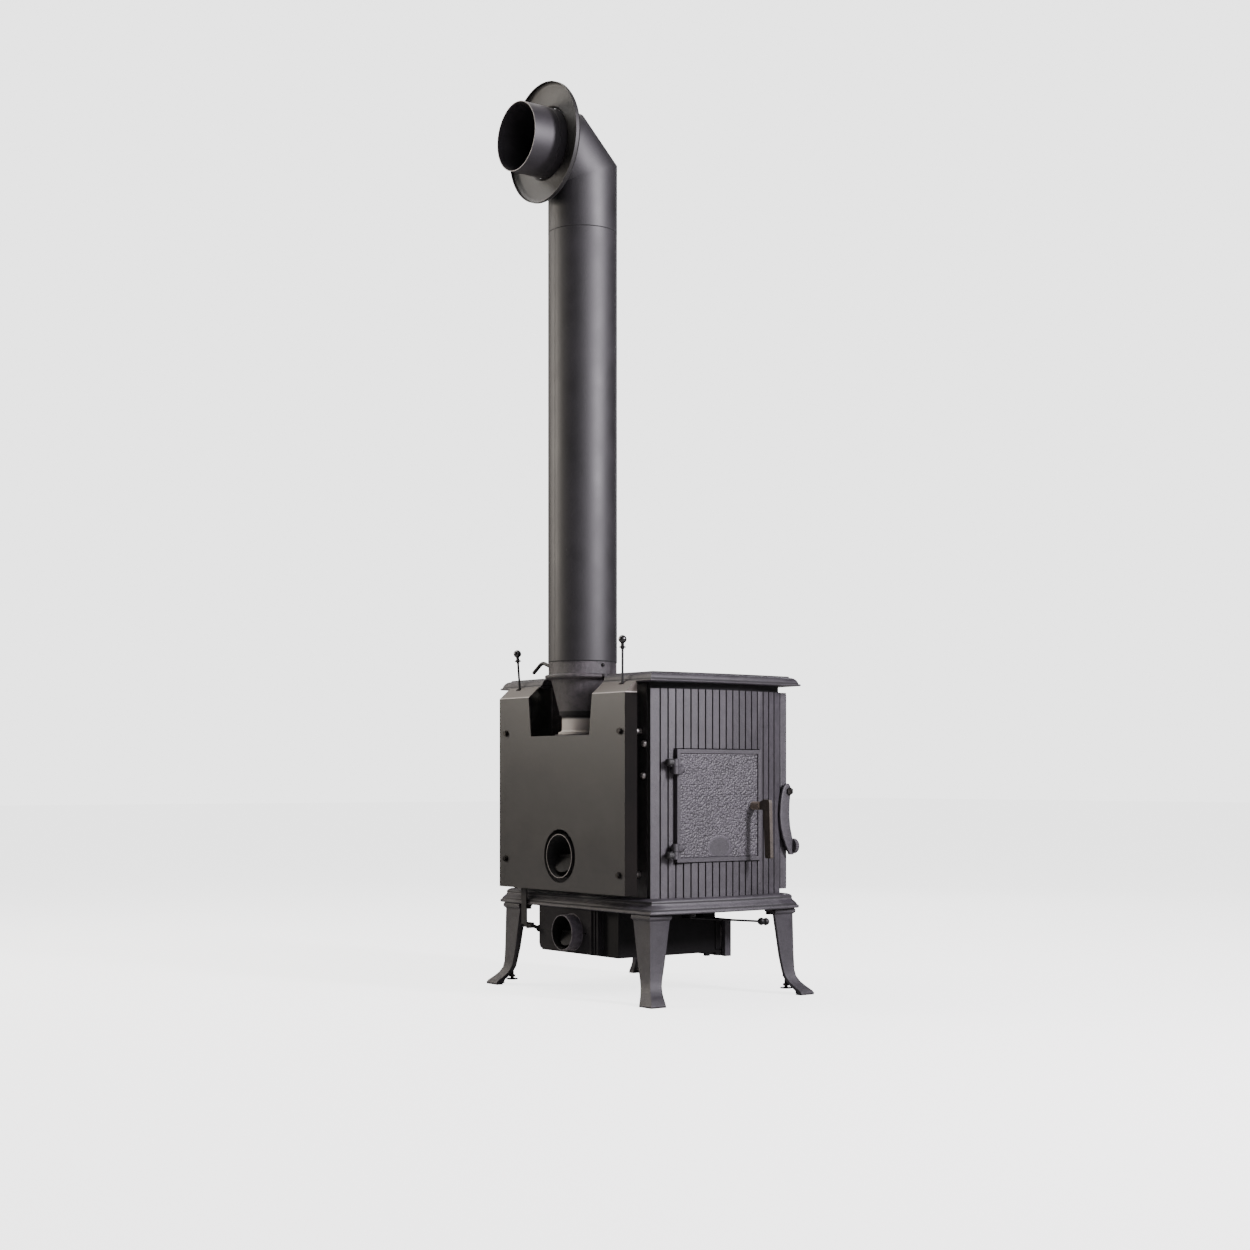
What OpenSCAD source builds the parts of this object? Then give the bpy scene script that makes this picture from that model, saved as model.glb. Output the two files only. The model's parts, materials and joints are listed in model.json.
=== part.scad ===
// Freestanding cast-iron wood stove on four splayed legs, with side loading door,
// rear heat shield, ash box with outside-air stub, flue pipe, elbow and wall rosette.
// Millimetres, Z up, front door towards -Y, side door towards -X.
// The origin is the middle of the whole object's plan box, on the floor.

/* [Plates] */
// Width of the base and top plates, corner to corner
plate_w = 576; // [556:1:600]
// Depth of the plates, corner to corner
plate_d = 418; // [410:1:440]
// Outward bow of a plate's side edges
plate_side_bow = 12; // [8:1:16]
// Outward bow of a plate's front edge
plate_front_bow = 8; // [2:1:12]
// Outward bow of a plate's rear edge
plate_rear_bow = 3; // [1:1:5]
// How far the top plate's front reaches past the base plate's
top_overhang = 6; // [2:1:12]
// Height of the base plate's underside above the floor
base_z = 192; // [180:1:215]
// Thickness of the base plate's rim
base_t = 33; // [30:1:38]
// Thickness of the base plate's web
base_web_t = 10; // [8:1:12]
// Thickness of the top plate
top_t = 22; // [18:1:26]
// Width of the moulding round the plates
mould_w = 20; // [16:1:22]

/* [Body] */
// Height of the body between the plates
body_h = 461; // [455:1:500]
// Inset of the body's corners from the plates' corners, along X
body_inset = 28; // [25:1:33]
// Inset of the body's front corners from the plates' front corners
front_inset = 33; // [30:1:37]
// Inset of the body's rear wall face from the plates' rear corners
rear_inset = 21; // [19:1:23]
// Outward bow of the slatted side walls
side_bow = 19.6; // [12:0.2:21]
// Wall thickness of the castings
wall = 8; // [7:0.5:9]
// Distance between neighbouring slats
slat_pitch = 19; // [18:0.25:19.25]
// Least distance from the last groove to the front corner
last_groove = 20; // [18:1:24]
// Width of a groove
groove_w = 3.4; // [2.5:0.1:5]
// Depth of a groove
groove_depth = 4; // [3:0.5:5]
// Distance from the rear corner to the first groove
first_groove = 23; // [18:1:24]
// Height of the dark neck between the slats and the top plate
neck_h = 14; // [8:1:20]

/* [Side door] */
// Width of the side door
side_door_w = 236; // [220:1:240]
// Height of the side door
side_door_h = 242; // [230:1:260]
// Height of the side door's foot above the body's foot
side_door_foot = 76; // [65:1:80]
// Distance of the side door's middle behind the stove's middle
side_door_y = 14; // [8:1:16]
// Thickness of the side door
side_door_t = 14; // [12:0.5:16]
// Width of the side door's flat frame band
side_band_w = 9; // [6:0.5:12]
// Depth of the side door's recessed field
side_field_depth = 3; // [2:0.5:4]
// Radius of the side hinge barrels
side_barrel_r = 7.5; // [6.5:0.5:8.5]
// Height of one side hinge barrel
side_barrel_h = 16; // [12:1:18]
// Radius of the side hinge pins
side_pin_r = 3; // [2.5:0.25:3.5]
// Height of the handle's spindle above the side door's foot
handle_rise = 120; // [109:1:129]
// Radius of the handle spindle
spindle_r = 9; // [7:0.5:10]
// Length of the spindle in front of the door
spindle_out = 26; // [22:1:32]
// Length that the handle bar hangs down
handle_drop = 114; // [100:1:125]
// Thickness of the handle bar
handle_t = 9; // [7:0.5:11]
// Width of the handle bar
handle_w = 19; // [16:1:22]

/* [Front door] */
// Inset of the front door's sides from the body's corners
front_door_inset = 5; // [2:1:10]
// Gap between the base plate and the front door
front_door_foot = 9; // [7:1:12]
// Gap between the front door and the top plate
front_door_head = 14; // [12:1:20]
// Thickness of the front door
front_door_t = 23; // [20:1:25]
// Width of the front door's frame beside the glass
window_side = 65; // [55:1:85]
// Height of the front door's frame below the glass
window_foot = 84; // [78:1:95]
// Height of the frame above the glass's straight sides
window_head = 104; // [95:1:125]
// Rise of the window's arched top
window_rise = 34; // [20:1:40]
// Thickness of the glass
glass_t = 4; // [3:0.5:5]
// Height of the front latch's pivot above the body's foot
latch_rise = 227; // [205:1:245]
// Thickness of the front latch lever
latch_t = 8; // [6:0.5:9]
// Width of the front latch lever
latch_w = 27; // [22:1:30]
// Length of the front latch lever below its pivot
latch_drop = 132; // [120:1:140]
// Radius of the front latch's knob
latch_knob_r = 18; // [15:0.5:20]

/* [Heat shield] */
// Inset of the rear heat shield's sides from the body's corners
shield_inset = 19; // [14:1:25]
// How far the shield stands out behind the plates' rear corners
shield_out = 32.5; // [31:0.5:34]
// Sheet thickness of the shield
shield_t = 1.5; // [1:0.25:2]
// Height of the shield's lower edge above the body's foot
shield_foot = 7; // [3:1:15]
// Drop of the shield's top bend below the stove's top
shield_bend_drop = 45; // [42:1:53]
// Half width of the cut-out at its foot
cut_half_foot = 112; // [108:1:116]
// Half width of the cut-out at its top
cut_half_top = 122; // [118:1:126]
// Drop of the cut-out's foot below the stove's top
cut_drop = 133; // [126:1:136]
// Radius of the air hole in the shield
shield_hole_r = 59.3; // [56:0.1:62]
// Height of the rear air spigot's middle above the body's foot
spigot_rise = 84; // [75:1:90]
// Outer radius of the rear air spigot
spigot_r = 48.7; // [46:0.1:50]

/* [Flue] */
// Distance of the flue's axis in front of the rear wall's face
flue_inset = 9.6; // [8:0.2:12]
// Outer radius of the flue pipe
pipe_r = 77; // [75:0.5:78]
// Wall of the flue pipe
pipe_wall = 2; // [1.5:0.1:2.2]
// Height of the pipe's lower end above the stove's top
pipe_rise = 30; // [26:1:37]
// Length of the pipe between its joints
pipe_len = 954; // [700:1:1000]
// Length of the pipe's spigot inside the elbow
pipe_spigot = 46; // [35:1:50]
// Length of the elbow's upright part
elbow_upright = 128; // [110:1:150]
// Length of the elbow's slanted middle part
elbow_mid = 80; // [75:1:95]
// How far the flue's mouth reaches behind the rosette
mouth_out = 82.5; // [71:0.5:106]
// Outer radius of the flue's mouth
mouth_r = 75; // [73:0.5:75]
// Radius of the wall rosette
rosette_r = 130; // [115:1:140]
// Distance of the rosette behind the flue's axis
rosette_out = 95.6; // [91.6:0.1:106.6]
// Depth of the rosette's rim
rosette_depth = 14; // [8:1:18]

/* [Air controls] */
// Inset of the air rods from the shield's sides
rod_inset = 48; // [41:1:53]
// Radius of the air rods
rod_r = 2.5; // [2:0.25:3]
// Radius of the ball knobs
ball_r = 9; // [8:0.5:10]
// Height of the right ball above the stove's top
ball_right_rise = 59; // [52:1:67]
// Height of the left ball above the stove's top
ball_left_rise = 70; // [57:1:77]
// Length of the air flaps' cranks
crank_len = 21; // [18:1:22]
// Outer radius of the ash-box air stub
stub_r = 39.5; // [37:0.5:41]
// Drop of the air stub's middle below the base plate
stub_drop = 52.5; // [49:0.5:55]
// How far the air stub reaches behind the rear wall's face
stub_out = 47; // [44:1:52]

/* [Ash box and legs] */
// Half width of the ash box
ash_half_w = 146; // [140:1:147]
// Drop of the ash box's floor below the base plate
ash_drop = 102; // [98:1:106]
// Distance of the ash box's front wall in front of the stove's middle
ash_front = 84; // [80:1:90]
// Sheet thickness of the ash box
ash_t = 3; // [2.5:0.5:3.5]
// Thickness of the ash door
ash_door_t = 17; // [14:1:18]
// Radius of the turning grate
grate_r = 75; // [70:1:78]
// Length of the riddling arm
riddle_arm = 160; // [159:1:163]
// Travel of the riddling rod
riddle_travel = 38; // [30:1:40]
// Inset of a leg's outer ridge from the plates' corners, along X
leg_inset_x = 12.5; // [10:0.5:18]
// Inset of a leg's outer ridge from the plates' corners, along Y
leg_inset_y = 8; // [6:0.5:11]
// How far a foot's tip splays out along X
foot_splay_x = 40; // [34:1:44]
// How far a foot's tip splays out along Y
foot_splay_y = 27; // [22:1:30]
// Width of a leg's face under the capital
leg_face_w = 60; // [56:1:64]
// Wall of a leg
leg_t = 8; // [7:0.5:9]
// Height of a levelling disc above the floor
level_gap = 12; // [8:1:14]

/* [Hidden] */

// Shared fits and overruns
cut = 1;
seat_gap = 0.3;
run_gap = 0.05;
door_gap = 2;
fine_fn = 96;
bolt_fn = 24;
hull_fn = 32;

// Sizes that follow the plates, and heights that follow the base and the body
body_z = base_z + base_t;
top_z = body_z + body_h;
stove_top = top_z + top_t;
web_z = body_z - base_web_t;
plate_half_w = plate_w / 2;
plate_half_d = plate_d / 2;
body_half_w = plate_half_w - body_inset;
body_front = plate_half_d - front_inset;
body_rear = plate_half_d - rear_inset;
side_door_z = body_z + side_door_foot;
handle_z = side_door_z + handle_rise;
front_door_w = 2 * (body_half_w - front_door_inset);
front_door_h = body_h - front_door_foot - front_door_head;
window_w = front_door_w - 2 * window_side;
window_h = front_door_h - window_foot - window_head;
latch_z = body_z + latch_rise;
shield_half_w = body_half_w - shield_inset;
shield_y = plate_half_d + shield_out;
shield_z = body_z + shield_foot;
shield_bend_z = stove_top - shield_bend_drop;
cut_z = stove_top - cut_drop;
spigot_z = body_z + spigot_rise;
flue_y = body_rear - flue_inset;
pipe_z = stove_top + pipe_rise;
rosette_y = flue_y + rosette_out;
mouth_y = rosette_y + mouth_out;
rod_x = shield_half_w - rod_inset;
ball_right_z = stove_top + ball_right_rise;
ball_left_z = stove_top + ball_left_rise;
stub_z = base_z - stub_drop;
stub_mouth_y = body_rear + stub_out;
ash_z = base_z - ash_drop;
ash_door_half_w = riddle_arm - rod_r - 2 * seat_gap;
leg_x = plate_half_w - leg_inset_x;
leg_y = plate_half_d - leg_inset_y;

// Whole plan box, which sets the origin
handle_reach = side_door_x() + spindle_out + 1.95 * handle_w;
toe_share = 1.03;
front_door_gap = 6;
foot_reach = leg_x + toe_share * foot_splay_x;
knob_reach = front_door_y() + front_door_t + latch_knob_out();
origin_x = (foot_reach - handle_reach) / 2;
origin_y = (mouth_y - knob_reach) / 2;
module placed() { translate([-origin_x, -origin_y, 0]) children(); }

// Side walls: a shallow arc from the rear corner to the front corner
side_mid_y = (body_rear - body_front) / 2;
side_half_d = (body_rear + body_front) / 2;
arc_r = (pow(side_half_d, 2) + pow(side_bow, 2)) / (2 * side_bow);
arc_cx = body_half_w + side_bow - arc_r;
arc_half = asin(side_half_d / arc_r);
function arc_angle(len) = arc_half - len / arc_r * 180 / PI;
function arc_point(len, inset) =
    [arc_cx + (arc_r - inset) * cos(arc_angle(len)), side_mid_y + (arc_r - inset) * sin(arc_angle(len))];
arc_len = 2 * arc_half / 180 * PI * arc_r;
function wall_x(y) = arc_cx + sqrt(pow(arc_r, 2) - pow(y - side_mid_y, 2));

// Side door place: a flat door just proud of the bowed wall
function side_door_x() = body_half_w + side_bow + side_field_depth / 2;
side_rear_y = side_door_y + side_door_w / 2;
side_front_y = side_door_y - side_door_w / 2;
side_seat_w = 14;
side_seat_x = side_door_x() - side_door_t - seat_gap;
side_axis_x = side_door_x() + side_barrel_r * 0.4;
side_axis_y = side_rear_y + side_barrel_r + seat_gap;
side_hinge_inset = 37;
handle_in = 24;
handle_y = side_front_y + handle_in;
rope_r = 4;
rope_in = 9;

// Front door place
function front_door_y() = body_front + front_door_gap;
function latch_knob_out() = latch_w + cut;
front_door_z = body_z + front_door_foot;
front_axis_x = body_half_w + wall;
front_axis_y = -(front_door_y() + front_door_t * 0.6);
front_barrel_r = 8;
front_barrel_h = 20;
front_pin_r = 3.5;
front_hinge_inset = 60;
latch_y = -(front_door_y() + front_door_t * 0.6);
latch_out = 7;
latch_x = front_door_w / 2 + latch_out;
latch_spindle_r = 5;
window_z = front_door_z + window_foot;
frame_lap_x = 15;
frame_lap_z = 14;
frame_open_w = window_w + 2 * frame_lap_x;
frame_open_z = window_z - frame_lap_z;
frame_open_h = window_h + window_rise + 2 * frame_lap_z;
frame_proud = 2;
frame_y = body_front + frame_proud;

// Flue values
pipe_in_r = pipe_r - pipe_wall;
collar_r = pipe_in_r - seat_gap;
collar_wall = 4.4;
shoulder_r = pipe_r - pipe_wall / 2;
pocket_r = 110;
ledge_drop = 5;
pocket_z = cut_z - ledge_drop;
boot_z = pocket_z + wall;
boot_neck_r = 46;
boot_neck_h = 42;
flange_drop = 4;
boot_flange_z = stove_top - flange_drop;
flange_out = 7;
boot_flange_r = pipe_r + flange_out;
boot_wall = 5;
bulge_r = boot_neck_r + 3 * boot_wall;
bulge_z = pocket_z - 4 * wall;
damper_drop = 8;
damper_z = pipe_z - damper_drop;
damper_rod_r = 3.75;
damper_gap = 2;
damper_r = collar_r - collar_wall - damper_gap;
notch_half_w = 118;
elbow_z1 = pipe_z + pipe_len + elbow_upright;
elbow_run = elbow_mid * sin(45);
elbow_z2 = elbow_z1 + elbow_run;
elbow_y2 = flue_y + elbow_run;

// Air control values
spigot_wall = 2.2;
spigot_mouth_y = shield_y + shield_t;
rod_y = plate_half_d + plate_rear_bow + rod_r + 2 * seat_gap;
rod_lean = 7;
rod_slot_x = rod_x + ball_r / 2;
strip_w = 20;
strip_t = 3;
crank_rest = 20;
crank_t = 3;
crank_pin_r = 2.5;
crank_hub_r = 8;
flap_t = 2;
flap_shaft_r = 4;
flap_gap = 0.6;
adapter_t = 19;
flap_y = body_rear + adapter_t * 0.8;
rear_flap_y = body_rear + adapter_t * 1.05;
adapter_left = 72;
adapter_right = 129.5;
crank_x = adapter_right + 2 * crank_t;
rear_crank_x = spigot_r + 4 * crank_t;
foot_z = stub_z + crank_len * sin(crank_rest);
rear_foot_z = spigot_z + crank_len * sin(crank_rest);

// Ash and grate values
riddle_drop = 15;
riddle_z = base_z - riddle_drop;
riddle_slope = 4.6;
riddle_pin_r = 3;
riddle_plate_t = 6;
ash_door_drop = 112;
ash_door_z = base_z - ash_door_drop;
ash_door_h = 84;
ash_flange_t = 14;
ash_rope_t = 6;
ash_pin_r = 3;
ash_lug_r = 6;
ash_axis_y = -(ash_front + ash_flange_t + ash_rope_t / 2);
ash_axis_z = ash_door_z + ash_lug_r + 2 * cut;
ash_door_y = ash_front + ash_flange_t + ash_rope_t;
ash_flange_z = ash_axis_z + ash_lug_r + 3 * cut;

// Outline of a plate, inset by a moulding width, front bow towards -Y
side_steps = 8;
function plate_outline(inset, front_extra) = let (
    w = plate_half_w - inset, f = plate_half_d + front_extra - inset, r = plate_half_d - inset)
    concat(
        [for (i = [0 : side_steps - 1]) let (t = 2 * i / side_steps - 1)
            [t * w, -f - plate_front_bow * (1 - t * t)]],
        [for (i = [0 : side_steps - 1]) let (t = 2 * i / side_steps - 1)
            [w + plate_side_bow * (1 - t * t), (t + 1) / 2 * (r + f) - f]],
        [for (i = [0 : side_steps - 1]) let (t = 1 - 2 * i / side_steps)
            [t * w, r + plate_rear_bow * (1 - t * t)]],
        [for (i = [0 : side_steps - 1]) let (t = 1 - 2 * i / side_steps)
            [-w - plate_side_bow * (1 - t * t), (t + 1) / 2 * (r + f) - f]]);

// Skin over rings of equally many points
module lofted(rings) {
    n = len(rings[0]);
    m = len(rings);
    points = [for (ring = rings) for (p = ring) p];
    sides = [for (k = [0 : m - 2]) for (i = [0 : n - 1]) let (
        a = k * n + i, b = k * n + (i + 1) % n, c = b + n, d = a + n) each [[a, d, c], [a, c, b]]];
    polyhedron(points, concat([[for (i = [0 : n - 1]) i]], sides,
        [[for (i = [n - 1 : -1 : 0]) (m - 1) * n + i]]));
}

// A plate with a moulded rim
module moulded_plate(z, t, profile_share, front_extra) {
    lofted([for (p = profile_share)
        [for (q = plate_outline(p[1] * mould_w, front_extra)) [q[0], q[1], z + p[0] * t]]]);
}
top_profile_share = [[0, 0.1], [0.08, 0], [0.2, 0.06], [0.24, 0.2], [0.42, 0.26], [0.62, 0.38],
    [0.78, 0.56], [0.86, 0.76], [0.88, 0.92], [1, 1]];
base_profile_share = [[0, 0.1], [0.07, 0], [0.2, 0.02], [0.24, 0.14], [0.34, 0.2], [0.46, 0.34],
    [0.58, 0.52], [0.68, 0.58], [0.78, 0.55], [0.86, 0.6], [0.93, 0.72], [1, 0.95]];

module hex_bolt(head_r, head_h, shank_r, shank_len) {
    cylinder(r = head_r, h = head_h, $fn = 6);
    translate([0, 0, -shank_len]) cylinder(r = shank_r, h = shank_len + cut, $fn = bolt_fn);
}

throat_rear = 5;
grate_seat = 12;
module base_plate() placed() color([0.16, 0.15, 0.16]) {
    throat = ash_half_w;
    throat_front = ash_front;
    rim = 1.3 * mould_w;
    difference() {
        moulded_plate(base_z, base_t, base_profile_share, 0);
        translate([0, 0, base_z - cut]) linear_extrude(base_t - base_web_t + cut)
            polygon([[-(plate_half_w - rim), -(plate_half_d - rim)],
                [plate_half_w - rim, -(plate_half_d - rim)],
                [plate_half_w - rim, plate_half_d - rim],
                [-(plate_half_w - rim), plate_half_d - rim]]);
        translate([0, 0, base_z]) cylinder(r = grate_r - grate_seat, h = base_t + cut, $fn = fine_fn);
        for (x = [-1, 1]) for (y = [-1, 1])
            translate([x * leg_bolt_x, y * leg_bolt_y, base_z])
                cylinder(r = leg_bolt_r + seat_gap, h = base_t + cut, $fn = bolt_fn);
    }
    difference() {
        translate([-throat, -throat_front, base_z])
            cube([2 * throat, throat_front + body_rear - throat_rear, web_z - base_z + cut]);
        translate([-throat + wall, -throat_front + wall, base_z - cut])
            cube([2 * (throat - wall), throat_front + body_rear - throat_rear - 2 * wall,
                web_z - base_z + 3 * cut]);
    }
}

module top_plate() placed() color([0.17, 0.16, 0.17]) difference() {
    moulded_plate(top_z, top_t, top_profile_share, top_overhang);
    translate([0, flue_y, top_z - cut]) cylinder(r = notch_half_w, h = top_t + 2 * cut, $fn = fine_fn);
    translate([-notch_half_w, flue_y, top_z - cut])
        cube([2 * notch_half_w, plate_half_d, top_t + 2 * cut]);
}

// Slatted side walls
skin_points = concat(
    [for (i = [0 : side_steps * 2]) arc_point(arc_len * i / (side_steps * 2), groove_depth)],
    [for (i = [side_steps * 2 : -1 : 0]) arc_point(arc_len * i / (side_steps * 2), groove_depth + wall)]);
thick_points = concat(
    [for (i = [0 : side_steps * 2]) arc_point(arc_len * i / (side_steps * 2), groove_depth)],
    [for (i = [side_steps * 2 : -1 : 0]) arc_point(arc_len * i / (side_steps * 2), groove_depth + 2 * wall)]);
function groove_at(i) = first_groove + i * slat_pitch;
groove_count = floor((arc_len - first_groove - last_groove) / slat_pitch) + 1;
slat_points = concat(
    [arc_point(0, 0)],
    [for (i = [0 : groove_count - 1]) each [
        arc_point(groove_at(i) - groove_w / 2, 0),
        arc_point(groove_at(i) - groove_w / 2, groove_depth),
        arc_point(groove_at(i) + groove_w / 2, groove_depth),
        arc_point(groove_at(i) + groove_w / 2, 0)]],
    [arc_point(arc_len, 0), arc_point(arc_len, groove_depth + wall / 2)],
    [for (i = [side_steps * 2 - 1 : -1 : 1]) arc_point(arc_len * i / (side_steps * 2), groove_depth + wall / 2)],
    [arc_point(0, groove_depth + wall / 2)]);

module slatted_wall() {
    translate([0, 0, body_z]) linear_extrude(body_h) polygon(skin_points);
    translate([0, 0, body_z]) linear_extrude(body_h - neck_h) polygon(slat_points);
}

module right_panel() placed() color([0.19, 0.18, 0.19]) {
    slatted_wall();
    front_lugs();
}

// Hinge lugs of the front door, on the right wall's front corner
module front_lugs() {
    for (z = front_hinge_z) translate([front_axis_x, front_axis_y, z]) difference() {
        union() {
            cylinder(r = front_barrel_r, h = front_barrel_h, $fn = 48);
            translate([-front_barrel_r, 0, 0])
                cube([front_barrel_r, -body_front - front_axis_y + wall, front_barrel_h]);
        }
        translate([0, 0, -cut]) cylinder(r = front_pin_r + run_gap, h = front_barrel_h + 2 * cut, $fn = 48);
    }
}
front_hinge_z = [front_door_z + front_hinge_inset,
    front_door_z + front_door_h - front_hinge_inset - front_barrel_h];

module left_panel() placed() color([0.19, 0.18, 0.19]) difference() {
    union() {
        mirror([1, 0, 0]) slatted_wall();
        intersection() {
            mirror([1, 0, 0]) translate([0, 0, body_z]) linear_extrude(body_h) polygon(thick_points);
            translate([-side_door_x(), side_front_y - door_gap - wall, side_door_z - door_gap - wall])
                cube([side_door_x(), side_door_w + 2 * (door_gap + wall), side_door_h + 2 * (door_gap + wall)]);
        }
        for (z = side_lug_z) side_lug(z);
    }
    translate([-side_door_x() - cut, side_front_y - door_gap, side_door_z - door_gap])
        cube([side_door_x() + cut - side_seat_x, side_door_w + 2 * door_gap,
            side_door_h + 2 * door_gap]);
    translate([-side_door_x() - cut, side_front_y + side_seat_w, side_door_z + side_seat_w])
        cube([side_bow + 4 * wall, side_door_w - 2 * side_seat_w, side_door_h - 2 * side_seat_w]);
    for (z = side_lug_z) translate([-side_axis_x, side_axis_y, z - cut])
        cylinder(r = side_pin_r + run_gap, h = side_barrel_h + 2 * cut, $fn = 48);
}
// Feet of the body's hinge lugs, and of the door's knuckles beside them
side_lug_z = [side_door_z + side_door_h - side_hinge_inset,
    side_door_z + side_barrel_h / 2];
side_knuckle_z = [side_lug_z[0] - side_barrel_h - seat_gap, side_lug_z[1] + side_barrel_h + seat_gap];
side_pin_z = [side_knuckle_z[0], side_lug_z[1]];

// Body lug of the side door's hinge
module side_lug(z) translate([0, 0, z]) {
    translate([-side_axis_x, side_axis_y, 0]) cylinder(r = side_barrel_r, h = side_barrel_h, $fn = 48);
    translate([-side_axis_x, side_axis_y, 0])
        cube([side_axis_x - wall_x(side_axis_y) + groove_depth, side_barrel_r * 1.6, side_barrel_h]);
}

module rear_panel() placed() color([0.13, 0.12, 0.13]) difference() {
    union() {
        translate([-rear_half_w, body_rear - wall, body_z])
            cube([2 * rear_half_w, wall, body_h]);
        for (x = [-1, 1]) translate([x * (rear_half_w - 2 * wall), body_rear - 1.75 * wall, body_z])
            translate([-wall / 2, 0, 0]) cube([wall, 0.75 * wall + cut, body_h]);
    }
    translate([-pocket_r - seat_gap, body_rear - wall - cut, pocket_z - seat_gap])
        cube([2 * (pocket_r + seat_gap), wall + 2 * cut, body_h]);
    translate([-bulge_r - seat_gap, body_rear - wall - cut, bulge_z - seat_gap])
        cube([2 * (bulge_r + seat_gap), wall + 2 * cut, pocket_z - bulge_z]);
    translate([0, body_rear + cut, spigot_z]) rotate([90, 0, 0])
        cylinder(r = spigot_r + seat_gap, h = wall + 2 * cut, $fn = fine_fn);
    for (p = concat(shield_bolt_at, rear_bolt_at)) translate([p[0], body_rear + cut, p[1]])
        rotate([90, 0, 0]) cylinder(r = bolt_r + seat_gap, h = wall + 8 * cut, $fn = bolt_fn);
}
rear_half_w = wall_x(body_rear) - groove_depth - wall - seat_gap;
bolt_r = 3;
// Places of the shield's bolts and of the wall's own bolts, as X and Z
shield_bolt_share = [[0.88, 0.815], [-0.93, 0.81], [0.888, 0.15], [-0.913, 0.1]];
shield_bolt_at = [for (s = shield_bolt_share)
    [s[0] * shield_half_w, shield_z + s[1] * (shield_bend_z - shield_z)]];
rear_bolt_share = [[0.969, 0.7145], [0.953, 0.567]];
rear_bolt_at = [for (s = rear_bolt_share) for (x = [-1, 1])
    [x * s[0] * rear_half_w, body_z + s[1] * body_h]];

module front_frame() placed() color([0.14, 0.13, 0.14]) difference() {
    half_w = wall_x(-body_front) - groove_depth - wall - seat_gap;
    union() {
        translate([-half_w, -frame_y, body_z]) cube([2 * half_w, wall, body_h]);
        translate([-frame_open_w / 2 - wall, -frame_y, frame_open_z - wall])
            cube([frame_open_w + 2 * wall, 2.25 * wall, frame_open_h + 2 * wall]);
    }
    translate([-frame_open_w / 2, -frame_y - cut, frame_open_z])
        cube([frame_open_w, 2.25 * wall + 2 * cut, frame_open_h]);
    translate([-half_w - cut, -frame_y - cut, latch_z - latch_slot_drop])
        cube([half_w + cut - latch_finger_x + latch_t, wall + 2 * cut, latch_slot_drop * 1.5]);
}
latch_finger_x = front_door_w / 2 - 2 * latch_t;
latch_slot_drop = latch_w * 1.3;

// Legs: an angle section carried down a curve, with a rounded capital
leg_bolt_r = 5;
leg_bolt_in = 37;
leg_bolt_x = leg_x - leg_bolt_in;
leg_bolt_y = leg_y - leg_bolt_in + cut;
level_in = 10.5;
level_x = leg_x - level_in;
level_y = leg_y - level_in;
level_r = 4;
// Rows: shares of height, ankle drift, splay, face width and wall
leg_share = [[0, 0, 1, 0.72, 2.1], [0.02, 0, toe_share, 0.72, 2.2], [0.05, 0, 0.93, 0.69, 2.1],
    [0.1, 0, 0.62, 0.63, 1.9], [0.15, 0, 0.36, 0.59, 1.6], [0.21, 0, 0.17, 0.575, 1.25],
    [0.28, 0, 0.09, 0.6, 1], [0.45, 0, 0.05, 0.72, 1], [0.93, 0, 0, 0.98, 1],
    [0.94, 0.6, 0, 1, 1.4], [0.955, 1, 0, 1.02, 1.6], [0.98, 1, 0, 1.02, 1.6], [1, 0.5, 0, 1, 1.4]];
capital_out = 4.5;
function leg_ring(s) = let (
    out = s[1] * capital_out,
    rx = leg_x + out + s[2] * foot_splay_x,
    ry = leg_y + out + s[2] * foot_splay_y,
    wx = leg_face_w * s[3] + out,
    wy = leg_face_w * 0.9 * s[3] + out,
    t = leg_t * s[4],
    z = s[0] * base_z)
    [[rx, ry, z], [rx - wx, ry, z], [rx - wx, ry - t, z], [rx - t, ry - t, z],
        [rx - t, ry - wy, z], [rx, ry - wy, z]];

module leg(mx, my) placed() color([0.2, 0.19, 0.2]) mirror([mx, 0, 0]) mirror([0, my, 0]) difference() {
    union() {
        lofted([for (s = leg_share) leg_ring(s)]);
        translate([0, 0, base_z - leg_t - cut]) linear_extrude(leg_t) polygon([
            [leg_x - leg_t / 4, leg_y - leg_t / 4], [leg_x - leg_face_w, leg_y - leg_t / 4],
            [leg_x - leg_face_w, leg_y - leg_t * 1.75], [leg_x - leg_t * 1.75, leg_y - leg_face_w * 0.9],
            [leg_x - leg_t / 4, leg_y - leg_face_w * 0.9]]);
        translate([leg_bolt_x, leg_bolt_y, base_z - leg_t - cut / 2])
            cylinder(r = leg_bolt_r * 2.2, h = web_z - base_z + leg_t + cut / 2, $fn = 48);
        translate([level_x, level_y, base_z * 0.2])
            cylinder(r = level_r * 2, h = base_z * 0.14, $fn = 48);
    }
    translate([leg_bolt_x, leg_bolt_y, base_z - leg_t - 2 * cut])
        cylinder(r = leg_bolt_r + seat_gap, h = base_t + leg_t, $fn = bolt_fn);
    translate([level_x, level_y, -cut])
        cylinder(r = level_r + run_gap, h = level_top + cut, $fn = 48);
}
level_top = base_z * 0.36;
module leg_front_left() leg(1, 1);
module leg_front_right() leg(0, 1);
module leg_rear_left() leg(1, 0);
module leg_rear_right() leg(0, 0);

module leg_bolts() placed() color([0.3, 0.3, 0.31]) for (x = [-1, 1]) for (y = [-1, 1])
    translate([x * leg_bolt_x, y * leg_bolt_y, base_z - leg_t - cut]) mirror([0, 0, 1])
        hex_bolt(leg_bolt_r * 1.8, leg_bolt_r * 1.3, leg_bolt_r, base_t + leg_t - 2 * cut);

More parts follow.
